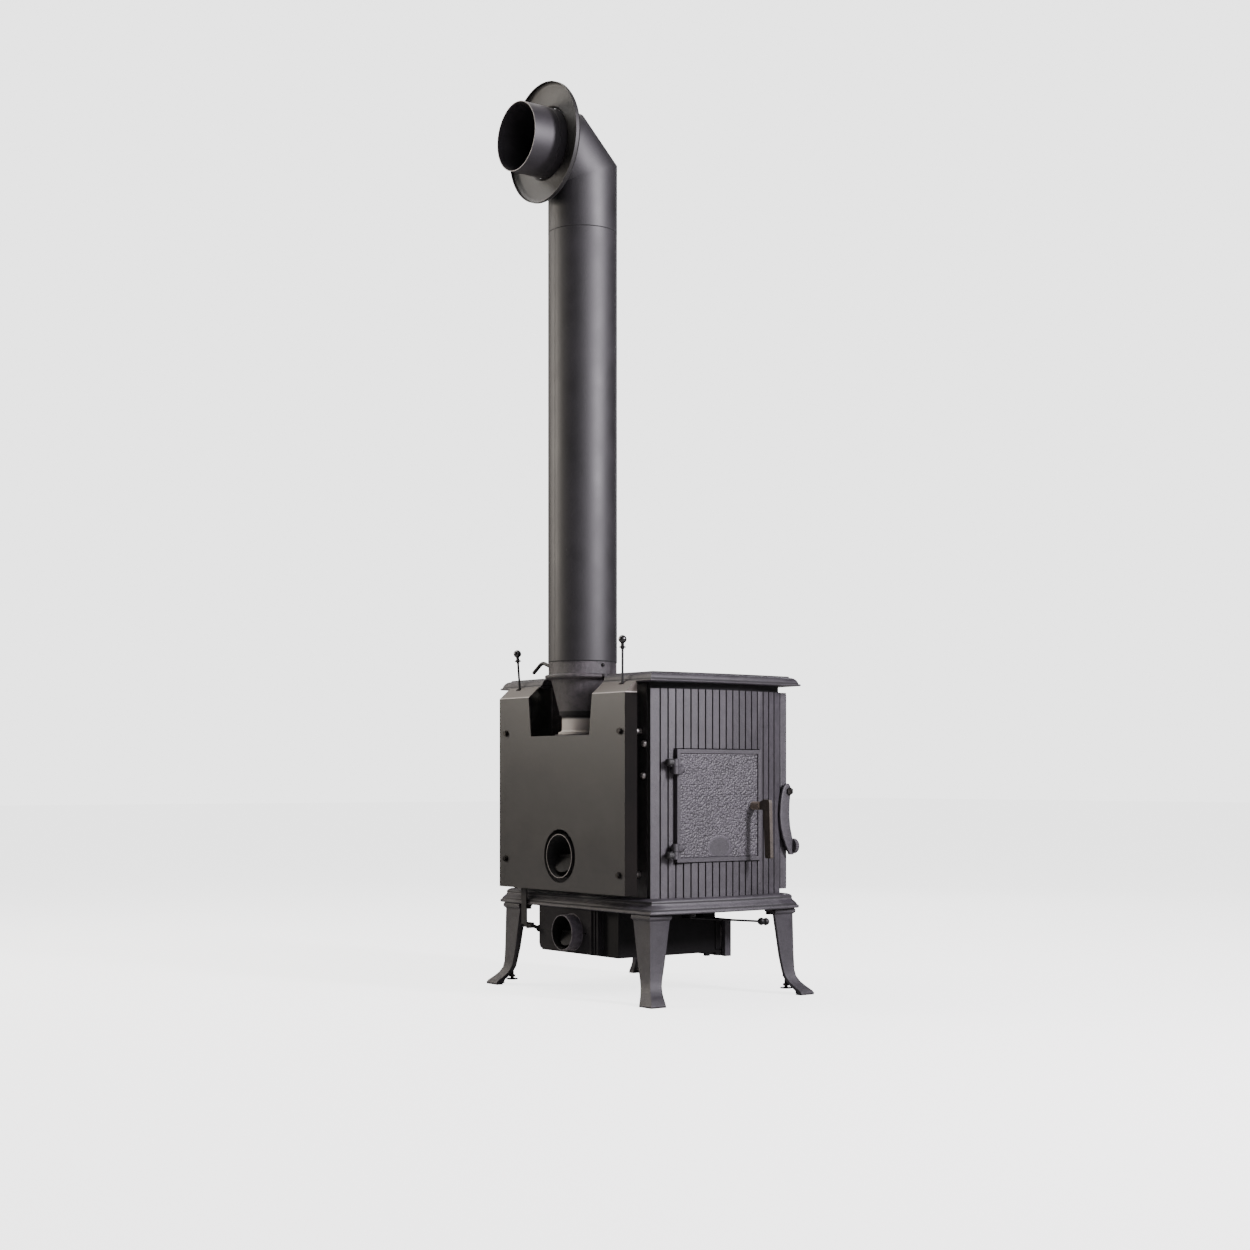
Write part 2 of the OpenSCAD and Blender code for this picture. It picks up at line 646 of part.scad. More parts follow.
module level_foot(mx, my) placed() color([0.12, 0.12, 0.12]) mirror([mx, 0, 0]) mirror([0, my, 0])
    translate([level_x, level_y, level_gap]) {
        cylinder(r = level_r * 3.35, h = level_r * 0.63, $fn = 48);
        cylinder(r = level_r, h = level_top - level_gap - 2 * level_r, $fn = 48);
        translate([0, 0, level_r * 1.5]) cylinder(r = level_r * 1.88, h = level_r * 1.25, $fn = 6);
    }
module level_front_left() level_foot(1, 1);
module level_front_right() level_foot(0, 1);
module level_rear_left() level_foot(1, 0);
module level_rear_right() level_foot(0, 0);

// Flue: pocket in the rear wall, boot with collar, pipe, elbow, rosette
module flue_pocket() placed() color([0.1, 0.1, 0.1]) difference() {
    inner_r = pocket_r - wall * 0.75;
    union() {
        difference() {
            translate([0, flue_y, pocket_z]) cylinder(r = pocket_r, h = top_z - pocket_z, $fn = fine_fn);
            translate([-pocket_r - cut, body_rear, pocket_z - cut]) cube([2 * (pocket_r + cut), pocket_r, top_z]);
        }
        translate([0, flue_y, bulge_z]) cylinder(r = bulge_r, h = boot_z - bulge_z, $fn = fine_fn);
    }
    translate([0, flue_y, boot_z]) cylinder(r = inner_r, h = top_z, $fn = fine_fn);
    translate([0, flue_y, bulge_z + wall]) cylinder(r = boot_neck_r - boot_wall, h = boot_z, $fn = fine_fn);
    translate([-bulge_r - cut, flue_y - bulge_r - cut, bulge_z - cut])
        cube([2 * (bulge_r + cut), body_rear - wall - flue_y + bulge_r + cut, pocket_z - bulge_z + cut]);
}

module flue_boot() placed() color([0.15, 0.15, 0.15]) difference() {
    union() {
        translate([0, flue_y, 0]) rotate_extrude($fn = fine_fn) polygon([
            [0, boot_z], [boot_neck_r + 1.6 * boot_wall, boot_z],
            [boot_neck_r + 1.6 * boot_wall, boot_z + boot_wall], [boot_neck_r + boot_wall / 2, boot_z + boot_wall * 1.3],
            [boot_neck_r, boot_z + 2 * boot_wall], [boot_neck_r, neck_top],
            [boot_neck_r + boot_wall * 0.8, neck_top], [boot_neck_r + boot_wall, neck_top + boot_wall / 2],
            [pipe_r - 1.4 * boot_wall, boot_flange_z - boot_wall], [boot_flange_r - boot_wall / 2, boot_flange_z - boot_wall / 2],
            [boot_flange_r, boot_flange_z], [boot_flange_r, boot_flange_z + boot_wall * 0.8],
            [boot_flange_r - boot_wall / 2, boot_flange_z + boot_wall * 1.2],
            [shoulder_r, boot_flange_z + boot_wall * 1.4], [shoulder_r, pipe_z - seat_gap],
            [collar_r, pipe_z - seat_gap], [collar_r, collar_top], [0, collar_top]]);
        for (x = [-1, 1]) translate([x * boot_flange_r, flue_y, boot_flange_z])
            cylinder(r = boot_wall * 1.4, h = boot_wall, $fn = bolt_fn);
    }
    translate([0, flue_y, 0]) rotate_extrude($fn = fine_fn) polygon([
        [0, boot_z - cut], [boot_neck_r - boot_wall, boot_z - cut], [boot_neck_r - boot_wall, neck_top],
        [boot_neck_r, neck_top + boot_wall],
        [pipe_r - 2.6 * boot_wall, boot_flange_z - boot_wall], [collar_r - collar_wall, boot_flange_z + boot_wall],
        [collar_r - collar_wall, collar_top + cut], [0, collar_top + cut]]);
    translate([-boot_flange_r, flue_y, damper_z]) rotate([0, 90, 0])
        cylinder(r = damper_rod_r + run_gap, h = 2 * boot_flange_r, $fn = 48);
}
neck_top = boot_z + boot_neck_h;
collar_top = pipe_z + pipe_spigot * 0.75;

swage_len = 10;
module flue_pipe() placed() color([0.17, 0.16, 0.17]) translate([0, flue_y, pipe_z]) difference() {
    union() {
        cylinder(r = pipe_r, h = pipe_len, $fn = fine_fn);
        cylinder(r = pipe_in_r - seat_gap, h = pipe_len + pipe_spigot, $fn = fine_fn);
    }
    translate([0, 0, -cut]) cylinder(r = pipe_in_r, h = pipe_len - swage_len, $fn = fine_fn);
    translate([0, 0, -cut])
        cylinder(r = pipe_in_r - seat_gap - pipe_wall, h = pipe_len + pipe_spigot + 2 * cut, $fn = fine_fn);
}

// Elbow rings: the pipe's section in a tilted plane, moved on by over
function elbow_ring(r, y, z, a, over) = let (k = a == 0 || a == 90 ? 1 : 1 / cos(22.5)) [
    for (i = [0 : fine_fn - 1]) let (s = r * k * sin(i * 360 / fine_fn))
        [r * cos(i * 360 / fine_fn), y + s * cos(a) + over * sin(a), z - s * sin(a) + over * cos(a)]];
module elbow_solid(r, over) lofted([
    elbow_ring(r, flue_y, pipe_z + pipe_len + seat_gap, 0, -over),
    elbow_ring(r, flue_y, elbow_z1, 22.5, 0), elbow_ring(r, elbow_y2, elbow_z2, 67.5, 0),
    elbow_ring(r, rosette_y - rosette_depth, elbow_z2, 90, over)]);

module flue_elbow() placed() color([0.17, 0.16, 0.17]) difference() {
    elbow_solid(pipe_r, 0);
    elbow_solid(pipe_in_r, cut);
}
module wall_stub() placed() color([0.17, 0.16, 0.17]) translate([0, stub_start_y, elbow_z2])
    rotate([-90, 0, 0]) difference() {
        union() {
            cylinder(r = mouth_in_fit - seat_gap, h = mouth_y - mouth_seat - hose_groove_w - stub_start_y, $fn = fine_fn);
            cylinder(r = mouth_in_fit - cut, h = mouth_y - stub_start_y - cut, $fn = fine_fn);
            translate([0, 0, mouth_y - mouth_seat - stub_start_y])
                cylinder(r = mouth_in_fit, h = mouth_seat, $fn = fine_fn);
        }
        translate([0, 0, -cut])
            cylinder(r = mouth_in_fit - pipe_wall, h = mouth_y - stub_start_y + 2 * cut, $fn = fine_fn);
    }
mouth_in_fit = min(mouth_r, pipe_in_r - seat_gap);
// A shallow groove ends the length that a sleeve or hose goes on
hose_groove_w = 2.5;
mouth_seat = mouth_out - rosette_depth - 2 * cut - hose_groove_w;
stub_start_y = rosette_y - rosette_depth - pipe_spigot / 2;

module wall_rosette() placed() color([0.16, 0.15, 0.16])
    translate([0, rosette_y, elbow_z2]) rotate([-90, 0, 0]) rotate_extrude($fn = fine_fn) polygon([
        [mouth_in_fit + seat_gap, -3 * shield_t], [mouth_in_fit + 4 * shield_t, 0],
        [rosette_r - 6 * shield_t, 0], [rosette_r - 2 * shield_t, shield_t],
        [rosette_r, 4 * shield_t], [rosette_r, rosette_depth], [rosette_r - shield_t, rosette_depth],
        [rosette_r - shield_t, 4.4 * shield_t], [rosette_r - 2.7 * shield_t, 2.3 * shield_t],
        [rosette_r - 6 * shield_t, shield_t], [mouth_in_fit + 3.7 * shield_t, shield_t],
        [mouth_in_fit + seat_gap, -2 * shield_t]]);

module damper_disc() placed() color([0.2, 0.2, 0.2]) translate([0, flue_y, damper_z]) difference() {
    union() {
        rotate([90, 0, 0]) translate([0, 0, -flap_t * 0.75]) cylinder(r = damper_r, h = flap_t * 1.5, $fn = fine_fn);
        translate([-damper_r * 0.9, 0, 0]) rotate([0, 90, 0])
            cylinder(r = damper_rod_r * 1.8, h = damper_r * 1.8, $fn = 48);
    }
    translate([-damper_r - cut, 0, 0]) rotate([0, 90, 0])
        cylinder(r = damper_rod_r + run_gap, h = 2 * (damper_r + cut), $fn = 48);
}

// Outer end of the damper's bar; its route along X and Z, as shares of the flange radius
damper_share = [[1.24, 0], [1.3, 0], [1.88, 0.18], [2.33, -0.095]];
function bend_angle(p, i) = atan2(p[i + 1][1] - p[i][1], p[i + 1][0] - p[i][0]);
function bar_ring(p, i, r) = let (last = len(p) - 1, before = bend_angle(p, max(i - 1, 0)),
    after = bend_angle(p, min(i, last - 1)), a = (before + after) / 2, k = r / cos((before - after) / 2))
    [for (s = [0 : 15 : 345]) [p[i][0] - sin(a) * k * sin(s), r * cos(s), p[i][1] + cos(a) * k * sin(s)]];
module damper_rod() placed() color([0.08, 0.08, 0.08]) translate([0, flue_y, damper_z]) {
    translate([-0.96 * boot_flange_r, 0, 0]) rotate([0, 90, 0])
        cylinder(r = damper_rod_r, h = 2.26 * boot_flange_r, $fn = 48);
    lofted([for (i = [0 : 3]) bar_ring(boot_flange_r * damper_share, i, 0.96 * damper_rod_r)]);
}

// Heat shield: folded sheet
module heat_shield() placed() color([0.25, 0.24, 0.22]) difference() {
    edge_y = plate_half_d + plate_rear_bow + 2 * seat_gap;
    tab_z = stove_top - mould_w;
    flange_y = plate_half_d;
    union() {
        translate([-shield_half_w, shield_y - shield_t, shield_z])
            cube([2 * shield_half_w, shield_t, shield_bend_z - shield_z]);
        for (x = [-1, 1]) translate([x * (shield_half_w - shield_t / 2), 0, 0])
            rotate([90, 0, 90]) translate([0, 0, -shield_t / 2]) linear_extrude(shield_t)
                polygon([[flange_y, shield_z], [shield_y, shield_z], [shield_y, shield_bend_z],
                    [edge_y, tab_z], [edge_y, top_z - seat_gap], [flange_y, top_z - seat_gap]]);
        translate([-shield_half_w, 0, 0]) rotate([90, 0, 90]) linear_extrude(2 * shield_half_w)
            polygon([[shield_y, shield_bend_z - cut], [shield_y, shield_bend_z],
                [edge_y, tab_z], [edge_y, tab_z - 1.3 * shield_t],
                [shield_y - shield_t, shield_bend_z - shield_t / 2], [shield_y - shield_t, shield_bend_z - cut]]);
    }
    translate([0, shield_y + cut, 0]) rotate([90, 0, 0]) linear_extrude(plate_half_d)
        polygon([[-cut_half_foot, cut_z], [cut_half_foot, cut_z], [cut_half_top, shield_bend_z],
            [cut_half_top, stove_top], [-cut_half_top, stove_top], [-cut_half_top, shield_bend_z]]);
    translate([0, shield_y + cut, spigot_z]) rotate([90, 0, 0])
        cylinder(r = shield_hole_r, h = shield_t + 2 * cut, $fn = fine_fn);
    for (p = shield_bolt_at) translate([p[0], shield_y + cut, p[1]]) rotate([90, 0, 0])
        cylinder(r = bolt_r + seat_gap, h = shield_t + 2 * cut, $fn = bolt_fn);
    for (x = [-1, 1]) translate([x * rod_slot_x - ball_r, 0, shield_bend_z + cut])
        cube([2 * ball_r, rod_y + 2 * rod_r, top_t + tab_z - shield_bend_z]);
}

module shield_bolts() placed() color([0.1, 0.1, 0.1]) for (p = shield_bolt_at)
    translate([p[0], shield_y, p[1]]) rotate([-90, 0, 0]) {
        cylinder(r = bolt_r * 2.6, h = shield_t, $fn = bolt_fn);
        translate([0, 0, shield_t])
            hex_bolt(bolt_r * 2, bolt_r * 1.6, bolt_r, shield_y + shield_t - body_rear + wall + bolt_r);
    }

module shield_spacers() placed() color([0.2, 0.2, 0.2]) for (p = shield_bolt_at)
    translate([p[0], body_rear, p[1]]) rotate([-90, 0, 0]) difference() {
        cylinder(r = bolt_r * 2.3, h = shield_y - shield_t - body_rear, $fn = 32);
        translate([0, 0, -cut]) cylinder(r = bolt_r + seat_gap, h = shield_y, $fn = bolt_fn);
    }

module rear_bolts() placed() color([0.4, 0.4, 0.4]) for (p = rear_bolt_at)
    translate([p[0], body_rear, p[1]]) rotate([-90, 0, 0]) {
        intersection() {
            sphere(r = bolt_r * 2.7, $fn = 32);
            cylinder(r = bolt_r * 3, h = bolt_r * 3, $fn = 32);
        }
        translate([0, 0, -wall - 2 * bolt_r]) cylinder(r = bolt_r, h = wall + 2 * bolt_r + cut, $fn = bolt_fn);
    }

// The hose stops behind the flap's shaft
hose_stop_y = rear_flap_y + 1.5 * flap_shaft_r;
module rear_air_spigot() placed() color([0.12, 0.12, 0.12]) difference() {
    union() {
        translate([0, body_rear - wall, spigot_z]) rotate([-90, 0, 0])
            cylinder(r = spigot_r - cut, h = spigot_mouth_y - body_rear + wall - cut, $fn = fine_fn);
        translate([0, body_rear - wall, spigot_z]) rotate([-90, 0, 0])
            cylinder(r = spigot_r - seat_gap, h = hose_stop_y - hose_groove_w - body_rear + wall, $fn = fine_fn);
        translate([0, hose_stop_y, spigot_z]) rotate([-90, 0, 0])
            cylinder(r = spigot_r, h = spigot_mouth_y - hose_stop_y, $fn = fine_fn);
        translate([0, body_rear, spigot_z]) rotate([-90, 0, 0])
            cylinder(r = spigot_r + wall, h = wall / 2, $fn = fine_fn);
    }
    translate([0, body_rear - wall - cut, spigot_z]) rotate([-90, 0, 0])
        cylinder(r = spigot_r - spigot_wall, h = spigot_mouth_y - body_rear + wall + 2 * cut, $fn = fine_fn);
    translate([-spigot_r - cut, rear_flap_y, spigot_z]) rotate([0, 90, 0])
        cylinder(r = flap_shaft_r + run_gap, h = 2 * (spigot_r + cut), $fn = 48);
}
// A butterfly flap on a shaft along X, with its crank at the end of the shaft
module air_flap(disc_r, near_x, far_x) {
    rotate([2 * crank_rest, 0, 0]) rotate([90, 0, 0]) translate([0, 0, -flap_t / 2])
        cylinder(r = disc_r, h = flap_t, $fn = fine_fn);
    translate([-near_x, 0, 0]) rotate([0, 90, 0]) cylinder(r = flap_shaft_r, h = near_x + far_x, $fn = 48);
    translate([far_x - crank_t, 0, 0]) rotate([crank_rest, 0, 0]) {
        translate([0, -flap_shaft_r, -flap_shaft_r])
            cube([crank_t, crank_len + flap_shaft_r + 2 * crank_pin_r, 2 * flap_shaft_r]);
        rotate([0, 90, 0]) cylinder(r = crank_hub_r, h = crank_t, $fn = 32);
        translate([0, crank_len, 0]) rotate([0, 90, 0])
            cylinder(r = crank_pin_r, h = 5 * crank_t, $fn = 32);
    }
}
// Upright fork plate that a crank's pin runs in, and the foot that carries it
module crank_fork(plate_x, strip_x, z) {
    slot_h = 2 * (crank_pin_r + flap_gap);
    translate([plate_x, rod_y - strip_t / 2, z - slot_h]) cube([strip_x - plate_x, strip_t, 2 * slot_h]);
    difference() {
        translate([plate_x, rod_y - strip_t / 2, z - slot_h]) cube([crank_t, strip_w, 2 * slot_h]);
        translate([plate_x - cut, rod_y + strip_t / 2, z - slot_h / 2])
            cube([crank_t + 2 * cut, strip_w - 1.5 * strip_t, slot_h]);
    }
}

// Ash box, air adapter, pan and grates
module ash_box() placed() color([0.1, 0.1, 0.1]) difference() {
    depth = ash_front + body_rear;
    union() {
        translate([-ash_half_w, -ash_front, ash_z]) cube([2 * ash_half_w, depth, base_z - ash_z]);
        translate([-ash_half_w - ash_t, -ash_front - ash_flange_t, ash_flange_z])
            cube([2 * (ash_half_w + ash_t), ash_flange_t + cut, ash_door_z + ash_door_h - ash_flange_z]);
        for (x = [-1, 1]) translate([x * (ash_half_w - ash_lug_r) - ash_lug_r * 0.7, -ash_front + ash_flange_t,
            ash_z - wall]) cube([ash_lug_r * 1.4, 2 * ash_lug_r, wall + cut]);
        for (x = [-1, 1]) translate([x * ash_lug_x - ash_lug_r * 0.8, ash_axis_y, ash_axis_z])
            rotate([0, 90, 0]) cylinder(r = ash_lug_r, h = ash_lug_r * 1.6, $fn = 32);
        for (x = [-1, 1]) translate([x * ash_lug_x - ash_lug_r * 0.8, ash_axis_y, ash_axis_z - ash_lug_r])
            cube([ash_lug_r * 1.6, ash_flange_t + ash_rope_t / 2 - 3 * cut, 2 * ash_lug_r]);
        for (x = [-1, 1]) translate([x * ash_lug_x - ash_lug_r * 0.8, -ash_front - ash_flange_t + cut,
            ash_axis_z]) cube([ash_lug_r * 1.6, ash_flange_t, ash_flange_z - ash_axis_z + cut]);
    }
    translate([-ash_half_w + ash_t, -ash_front + ash_t, ash_z + ash_t])
        cube([2 * (ash_half_w - ash_t), depth - 2 * ash_t, base_z]);
    translate([-ash_mouth_half, -ash_front - ash_flange_t - cut, ash_z + ash_t])
        cube([2 * ash_mouth_half, ash_flange_t + ash_t + 2 * cut, ash_mouth_h]);
    translate([0, body_rear + cut, stub_z]) rotate([90, 0, 0])
        cylinder(r = stub_r - ash_t, h = ash_t + 3 * cut, $fn = fine_fn);
    translate([-ash_half_w - cut, -riddle_travel - wall * 1.5, riddle_z - riddle_plate_t])
        cube([ash_t + 2 * cut, riddle_travel + wall * 3, base_z - riddle_z + wall]);
    translate([-ash_door_half_w - cut, ash_axis_y, ash_axis_z]) rotate([0, 90, 0])
        cylinder(r = ash_pin_r + run_gap, h = 2 * (ash_door_half_w + cut), $fn = 48);
}
ash_mouth_half = ash_half_w - wall;
ash_mouth_h = ash_door_z + ash_door_h - ash_z - 2 * wall;
ash_lug_x = ash_half_w - ash_lug_r;

module air_adapter() placed() color([0.14, 0.14, 0.14]) {
    low = ash_z + adapter_corner * 0.3;
    difference() {
        union() {
            translate([0, body_rear, 0]) rotate([-90, 0, 0]) linear_extrude(adapter_t)
                polygon([[-adapter_left, -base_z], [adapter_right, -base_z],
                    [adapter_right, -low - adapter_corner],
                    [adapter_right - adapter_corner * 0.3, -low - adapter_corner * 0.3],
                    [adapter_right - adapter_corner, -low], [-adapter_left, -low]]);
            translate([0, body_rear + wall / 2, stub_z]) rotate([-90, 0, 0])
                cylinder(r = stub_r, h = stub_mouth_y - body_rear - wall / 2, $fn = fine_fn);
            for (i = [0, 1]) translate([-adapter_left - wall * (1 + 1.4 * i), body_rear, low])
                cube([wall * 0.6, adapter_t * 0.8, base_z - low]);
            translate([-adapter_left - 3 * wall, body_rear, low]) cube([3 * wall + cut, wall / 2, base_z - low]);
        }
        translate([0, body_rear - cut, stub_z]) rotate([-90, 0, 0])
            cylinder(r = stub_r - spigot_wall, h = stub_mouth_y, $fn = fine_fn);
        translate([-stub_r - adapter_corner, flap_y, stub_z]) rotate([0, 90, 0])
            cylinder(r = flap_shaft_r + run_gap, h = stub_r + adapter_corner + adapter_right + cut, $fn = 48);
    }
}
adapter_corner = 14;

module primary_flap() placed() color([0.2, 0.2, 0.2]) translate([0, flap_y, stub_z])
    air_flap(stub_r - spigot_wall - flap_gap, stub_r + adapter_corner / 2, crank_x);

module ash_pan() placed() color([0.22, 0.22, 0.22]) {
    pan_t = ash_t / 2;
    pan_half = ash_mouth_half - wall;
    pan_z = ash_z + ash_t;
    pan_h = ash_mouth_h - wall;
    pan_y = -ash_front - pan_t;
    pan_d = ash_front + body_rear - 1.6 * stub_r;
    difference() {
        translate([-pan_half, pan_y, pan_z]) cube([2 * pan_half, pan_d, pan_h]);
        translate([-pan_half + pan_t, pan_y + pan_t, pan_z + pan_t])
            cube([2 * (pan_half - pan_t), pan_d - 2 * pan_t, pan_h]);
    }
    translate([-pan_half * 0.3, pan_y - ash_flange_t / 2, pan_z + pan_h - wall])
        cube([pan_half * 0.6, ash_flange_t / 2 + pan_t / 2, wall / 2]);
}

module grate_plate() placed() color([0.15, 0.15, 0.15]) difference() {
    half_x = grate_r * 1.6;
    half_y = grate_r * 1.45;
    translate([-half_x, -half_y, body_z]) cube([2 * half_x, 2 * half_y, grate_t]);
    translate([0, 0, body_z - cut]) cylinder(r = grate_r + cut, h = grate_t + 2 * cut, $fn = fine_fn);
    for (x = [-1, 1]) for (i = [-2 : 2])
        translate([x * grate_r * 1.32 - grate_t, i * grate_slot * 2.6 - grate_slot / 2, body_z - cut])
            cube([2 * grate_t, grate_slot, grate_t + 2 * cut]);
}
grate_t = 14;
grate_slot = 10;

module riddling_grate() placed() color([0.17, 0.17, 0.17]) {
    difference() {
        translate([0, 0, body_z + seat_gap]) cylinder(r = grate_r, h = grate_t - wall / 4, $fn = fine_fn);
        for (i = [-2, -1, 1, 2])
            let (half = sqrt(pow(grate_r - wall * 1.5, 2) - pow(i * 2.2 * grate_slot, 2)))
                translate([-half, i * 2.2 * grate_slot - grate_slot / 2, body_z])
                    cube([2 * half, grate_slot, 2 * grate_t]);
    }
    translate([0, 0, riddle_z - riddle_plate_t / 2])
        cylinder(r = wall, h = body_z - riddle_z + wall, $fn = 32);
    difference() {
        union() {
            translate([-riddle_arm - wall, -wall, riddle_z - riddle_plate_t / 2])
                cube([riddle_arm + wall, 2 * wall, riddle_plate_t]);
            translate([-riddle_arm - wall, 0, riddle_z - riddle_plate_t / 2])
                cylinder(r = wall, h = riddle_plate_t, $fn = 32);
        }
        for (x = [-wall, riddle_pin_r]) translate([x - riddle_arm, 0, riddle_z - riddle_plate_t])
            cylinder(r = riddle_pin_r + 2 * flap_gap, h = 2 * riddle_plate_t, $fn = 32);
        translate([-riddle_arm - wall, -riddle_pin_r - 2 * flap_gap, riddle_z - riddle_plate_t])
            cube([wall + riddle_pin_r, 2 * (riddle_pin_r + 2 * flap_gap), 2 * riddle_plate_t]);
    }
}

riddle_len = 205;
riddle_knob_r = 9;
// Outline of the rod's double knob: radius and length as shares of the knob's radius
riddle_knob_share = [[0, -0.45], [0.45, -0.45], [0.83, -0.1], [1, 0.45], [0.83, 1], [0.5, 1.22],
    [0.83, 1.45], [1, 2], [0.78, 2.55], [0, 2.78]];
module riddling_rod() placed() color([0.09, 0.09, 0.09])
    translate([-riddle_arm, 0, riddle_z - riddle_plate_t]) {
        cylinder(r = riddle_pin_r, h = 2 * riddle_plate_t, $fn = 48);
        rotate([90 + riddle_slope, 0, 0]) {
            cylinder(r = rod_r, h = riddle_len, $fn = 48);
            translate([0, 0, riddle_len]) rotate_extrude($fn = 48) polygon(riddle_knob_r * riddle_knob_share);
        }
    }

// Firebox inside
lining_t = 25;
baffle_drop = 41;
lining_h = pocket_z - body_z - baffle_drop;
lining_gap = 7;
lining_rear_y = body_rear - wall - lining_t - lining_gap;
lining_front_y = -body_front + lining_t * 0.8;
lining_half = wall_x(lining_rear_y) - groove_depth - 3.5 * wall;
module lining_side(half) {
    translate([half - lining_t, lining_front_y, body_z])
        cube([lining_t, lining_rear_y - seat_gap - lining_front_y, lining_h]);
}
module lining_right() placed() color([0.75, 0.68, 0.55]) lining_side(lining_half);
module lining_left() placed() color([0.75, 0.68, 0.55]) difference() {
    mirror([1, 0, 0]) lining_side(lining_half);
    translate([-lining_half - cut, side_front_y + side_seat_w, side_door_z + side_seat_w])
        cube([lining_t + 2 * cut, side_door_w - 2 * side_seat_w, side_door_h]);
}
module lining_rear() placed() color([0.75, 0.68, 0.55])
    translate([-lining_half, lining_rear_y, body_z]) cube([2 * lining_half, lining_t, lining_h]);

module baffle_plate() placed() color([0.7, 0.64, 0.52]) {
    tilt = 4;
    depth = lining_rear_y - lining_front_y - 2 * lining_t;
    translate([-lining_half, lining_rear_y + lining_t * 0.7, body_z + lining_h + seat_gap])
        rotate([-tilt, 0, 0]) translate([0, -depth, 0]) cube([2 * lining_half, depth, lining_t * 0.8]);
}

module log_guard() placed() color([0.15, 0.15, 0.15]) {
    half = lining_half - lining_t - cut;
    bar = half / 5;
    translate([-half, lining_front_y + wall / 2, body_z]) difference() {
        cube([2 * half, wall, lining_h * 0.22]);
        for (i = [1 : 9]) translate([i * bar - bar * 0.15, -cut, lining_h * 0.08])
            cube([bar * 0.3, wall + 2 * cut, lining_h * 0.09]);
    }
}

module hinge_pins() placed() color([0.5, 0.5, 0.5]) {
    for (z = front_hinge_z) translate([front_axis_x, front_axis_y, z - cut])
        cylinder(r = front_pin_r, h = 2 * front_barrel_h + seat_gap + 2 * cut, $fn = 48);
    for (z = side_pin_z) translate([-side_axis_x, side_axis_y, z - cut])
        cylinder(r = side_pin_r, h = 2 * side_barrel_h + seat_gap + 2 * cut, $fn = 48);
}

// Front door: frame with arched window, glass, clips and rope
module window_shape(extra) {
    half = window_w / 2 + extra;
    rise_r = (pow(window_w / 2, 2) + pow(window_rise, 2)) / (2 * window_rise);
    intersection() {
        translate([-half, -extra]) square([2 * half, window_h + window_rise + 2 * extra]);
        translate([0, window_h + window_rise - rise_r]) circle(r = rise_r + extra, $fn = 200);
    }
}
module on_front(z, y, depth) translate([0, -y, z]) rotate([90, 0, 0]) linear_extrude(depth) children();

module front_door() placed() color([0.19, 0.18, 0.19]) difference() {
    union() {
        on_front(front_door_z, front_door_y(), front_door_t - door_step)
            translate([-front_door_w / 2, 0]) square([front_door_w, front_door_h]);
        on_front(front_door_z + door_step, front_door_y() + door_step, front_door_t - door_step)
            translate([-front_door_w / 2 + door_step, 0])
                square([front_door_w - 2 * door_step, front_door_h - 2 * door_step]);
        on_front(window_z, front_door_y() + door_step, front_door_t - seat_gap) window_shape(2 * wall);
        for (z = front_hinge_z) translate([front_axis_x, front_axis_y, z + front_barrel_h + seat_gap]) {
            cylinder(r = front_barrel_r, h = front_barrel_h, $fn = 48);
            translate([-front_barrel_r - 1.2 * door_step, -front_barrel_r * 0.8, 0])
                cube([front_barrel_r + 1.2 * door_step, front_barrel_r * 1.6, front_barrel_h]);
        }
        translate([-latch_x + seat_gap, latch_y, latch_z]) rotate([0, 90, 0])
            cylinder(r = 2.2 * latch_spindle_r, h = latch_x - front_door_w / 2 + cut, $fn = 48);
    }
    on_front(window_z, front_door_y() - cut, front_door_t + 2 * door_step) window_shape(0);
    on_front(window_z, front_door_y() - cut, glass_t + rope_r + cut) window_shape(2 * door_step);
    for (z = front_hinge_z) translate([front_axis_x, front_axis_y, z + front_barrel_h])
        cylinder(r = front_pin_r + run_gap, h = front_barrel_h + cut, $fn = 48);
    translate([-latch_x, latch_y, latch_z]) rotate([0, 90, 0])
        cylinder(r = latch_spindle_r + run_gap, h = latch_x - latch_finger_x + latch_t, $fn = 48);
    translate([-latch_finger_x - latch_t, latch_y - 1.5 * latch_spindle_r,
        latch_z - latch_slot_drop]) cube([2 * latch_t, front_door_t, latch_slot_drop * 1.5]);
    on_front(frame_open_z - rope_out, front_door_y() - cut, rope_r + 2 * cut)
        rope_ring(frame_open_w + 2 * rope_out, frame_open_h + 2 * rope_out, 2 * (rope_r + cut));
    for (i = [-4 : 4]) on_front(front_door_z + 2 * vent_w, front_door_y() + front_door_t - door_step / 2, vent_w)
        translate([(1.5 * i - 0.5) * vent_w, 0]) square([vent_w, 2.3 * vent_w]);
}
door_step = 5;
vent_w = 16;
rope_out = 13;
module rope_ring(w, h, t) difference() {
    translate([-w / 2, 0]) square([w, h]);
    translate([-w / 2 + t, t]) square([w - 2 * t, h - 2 * t]);
}
module front_rope() placed() color([0.3, 0.3, 0.3])
    on_front(frame_open_z - rope_out + cut, frame_y + seat_gap, front_door_y() + rope_r - frame_y - 2 * seat_gap)
        rope_ring(frame_open_w + 2 * (rope_out - cut), frame_open_h + 2 * (rope_out - cut), 2 * rope_r);

module door_glass() placed() color([0.5, 0.5, 0.5, 0.35])
    on_front(window_z, front_door_y() + rope_r, glass_t) window_shape(2 * door_step - seat_gap);

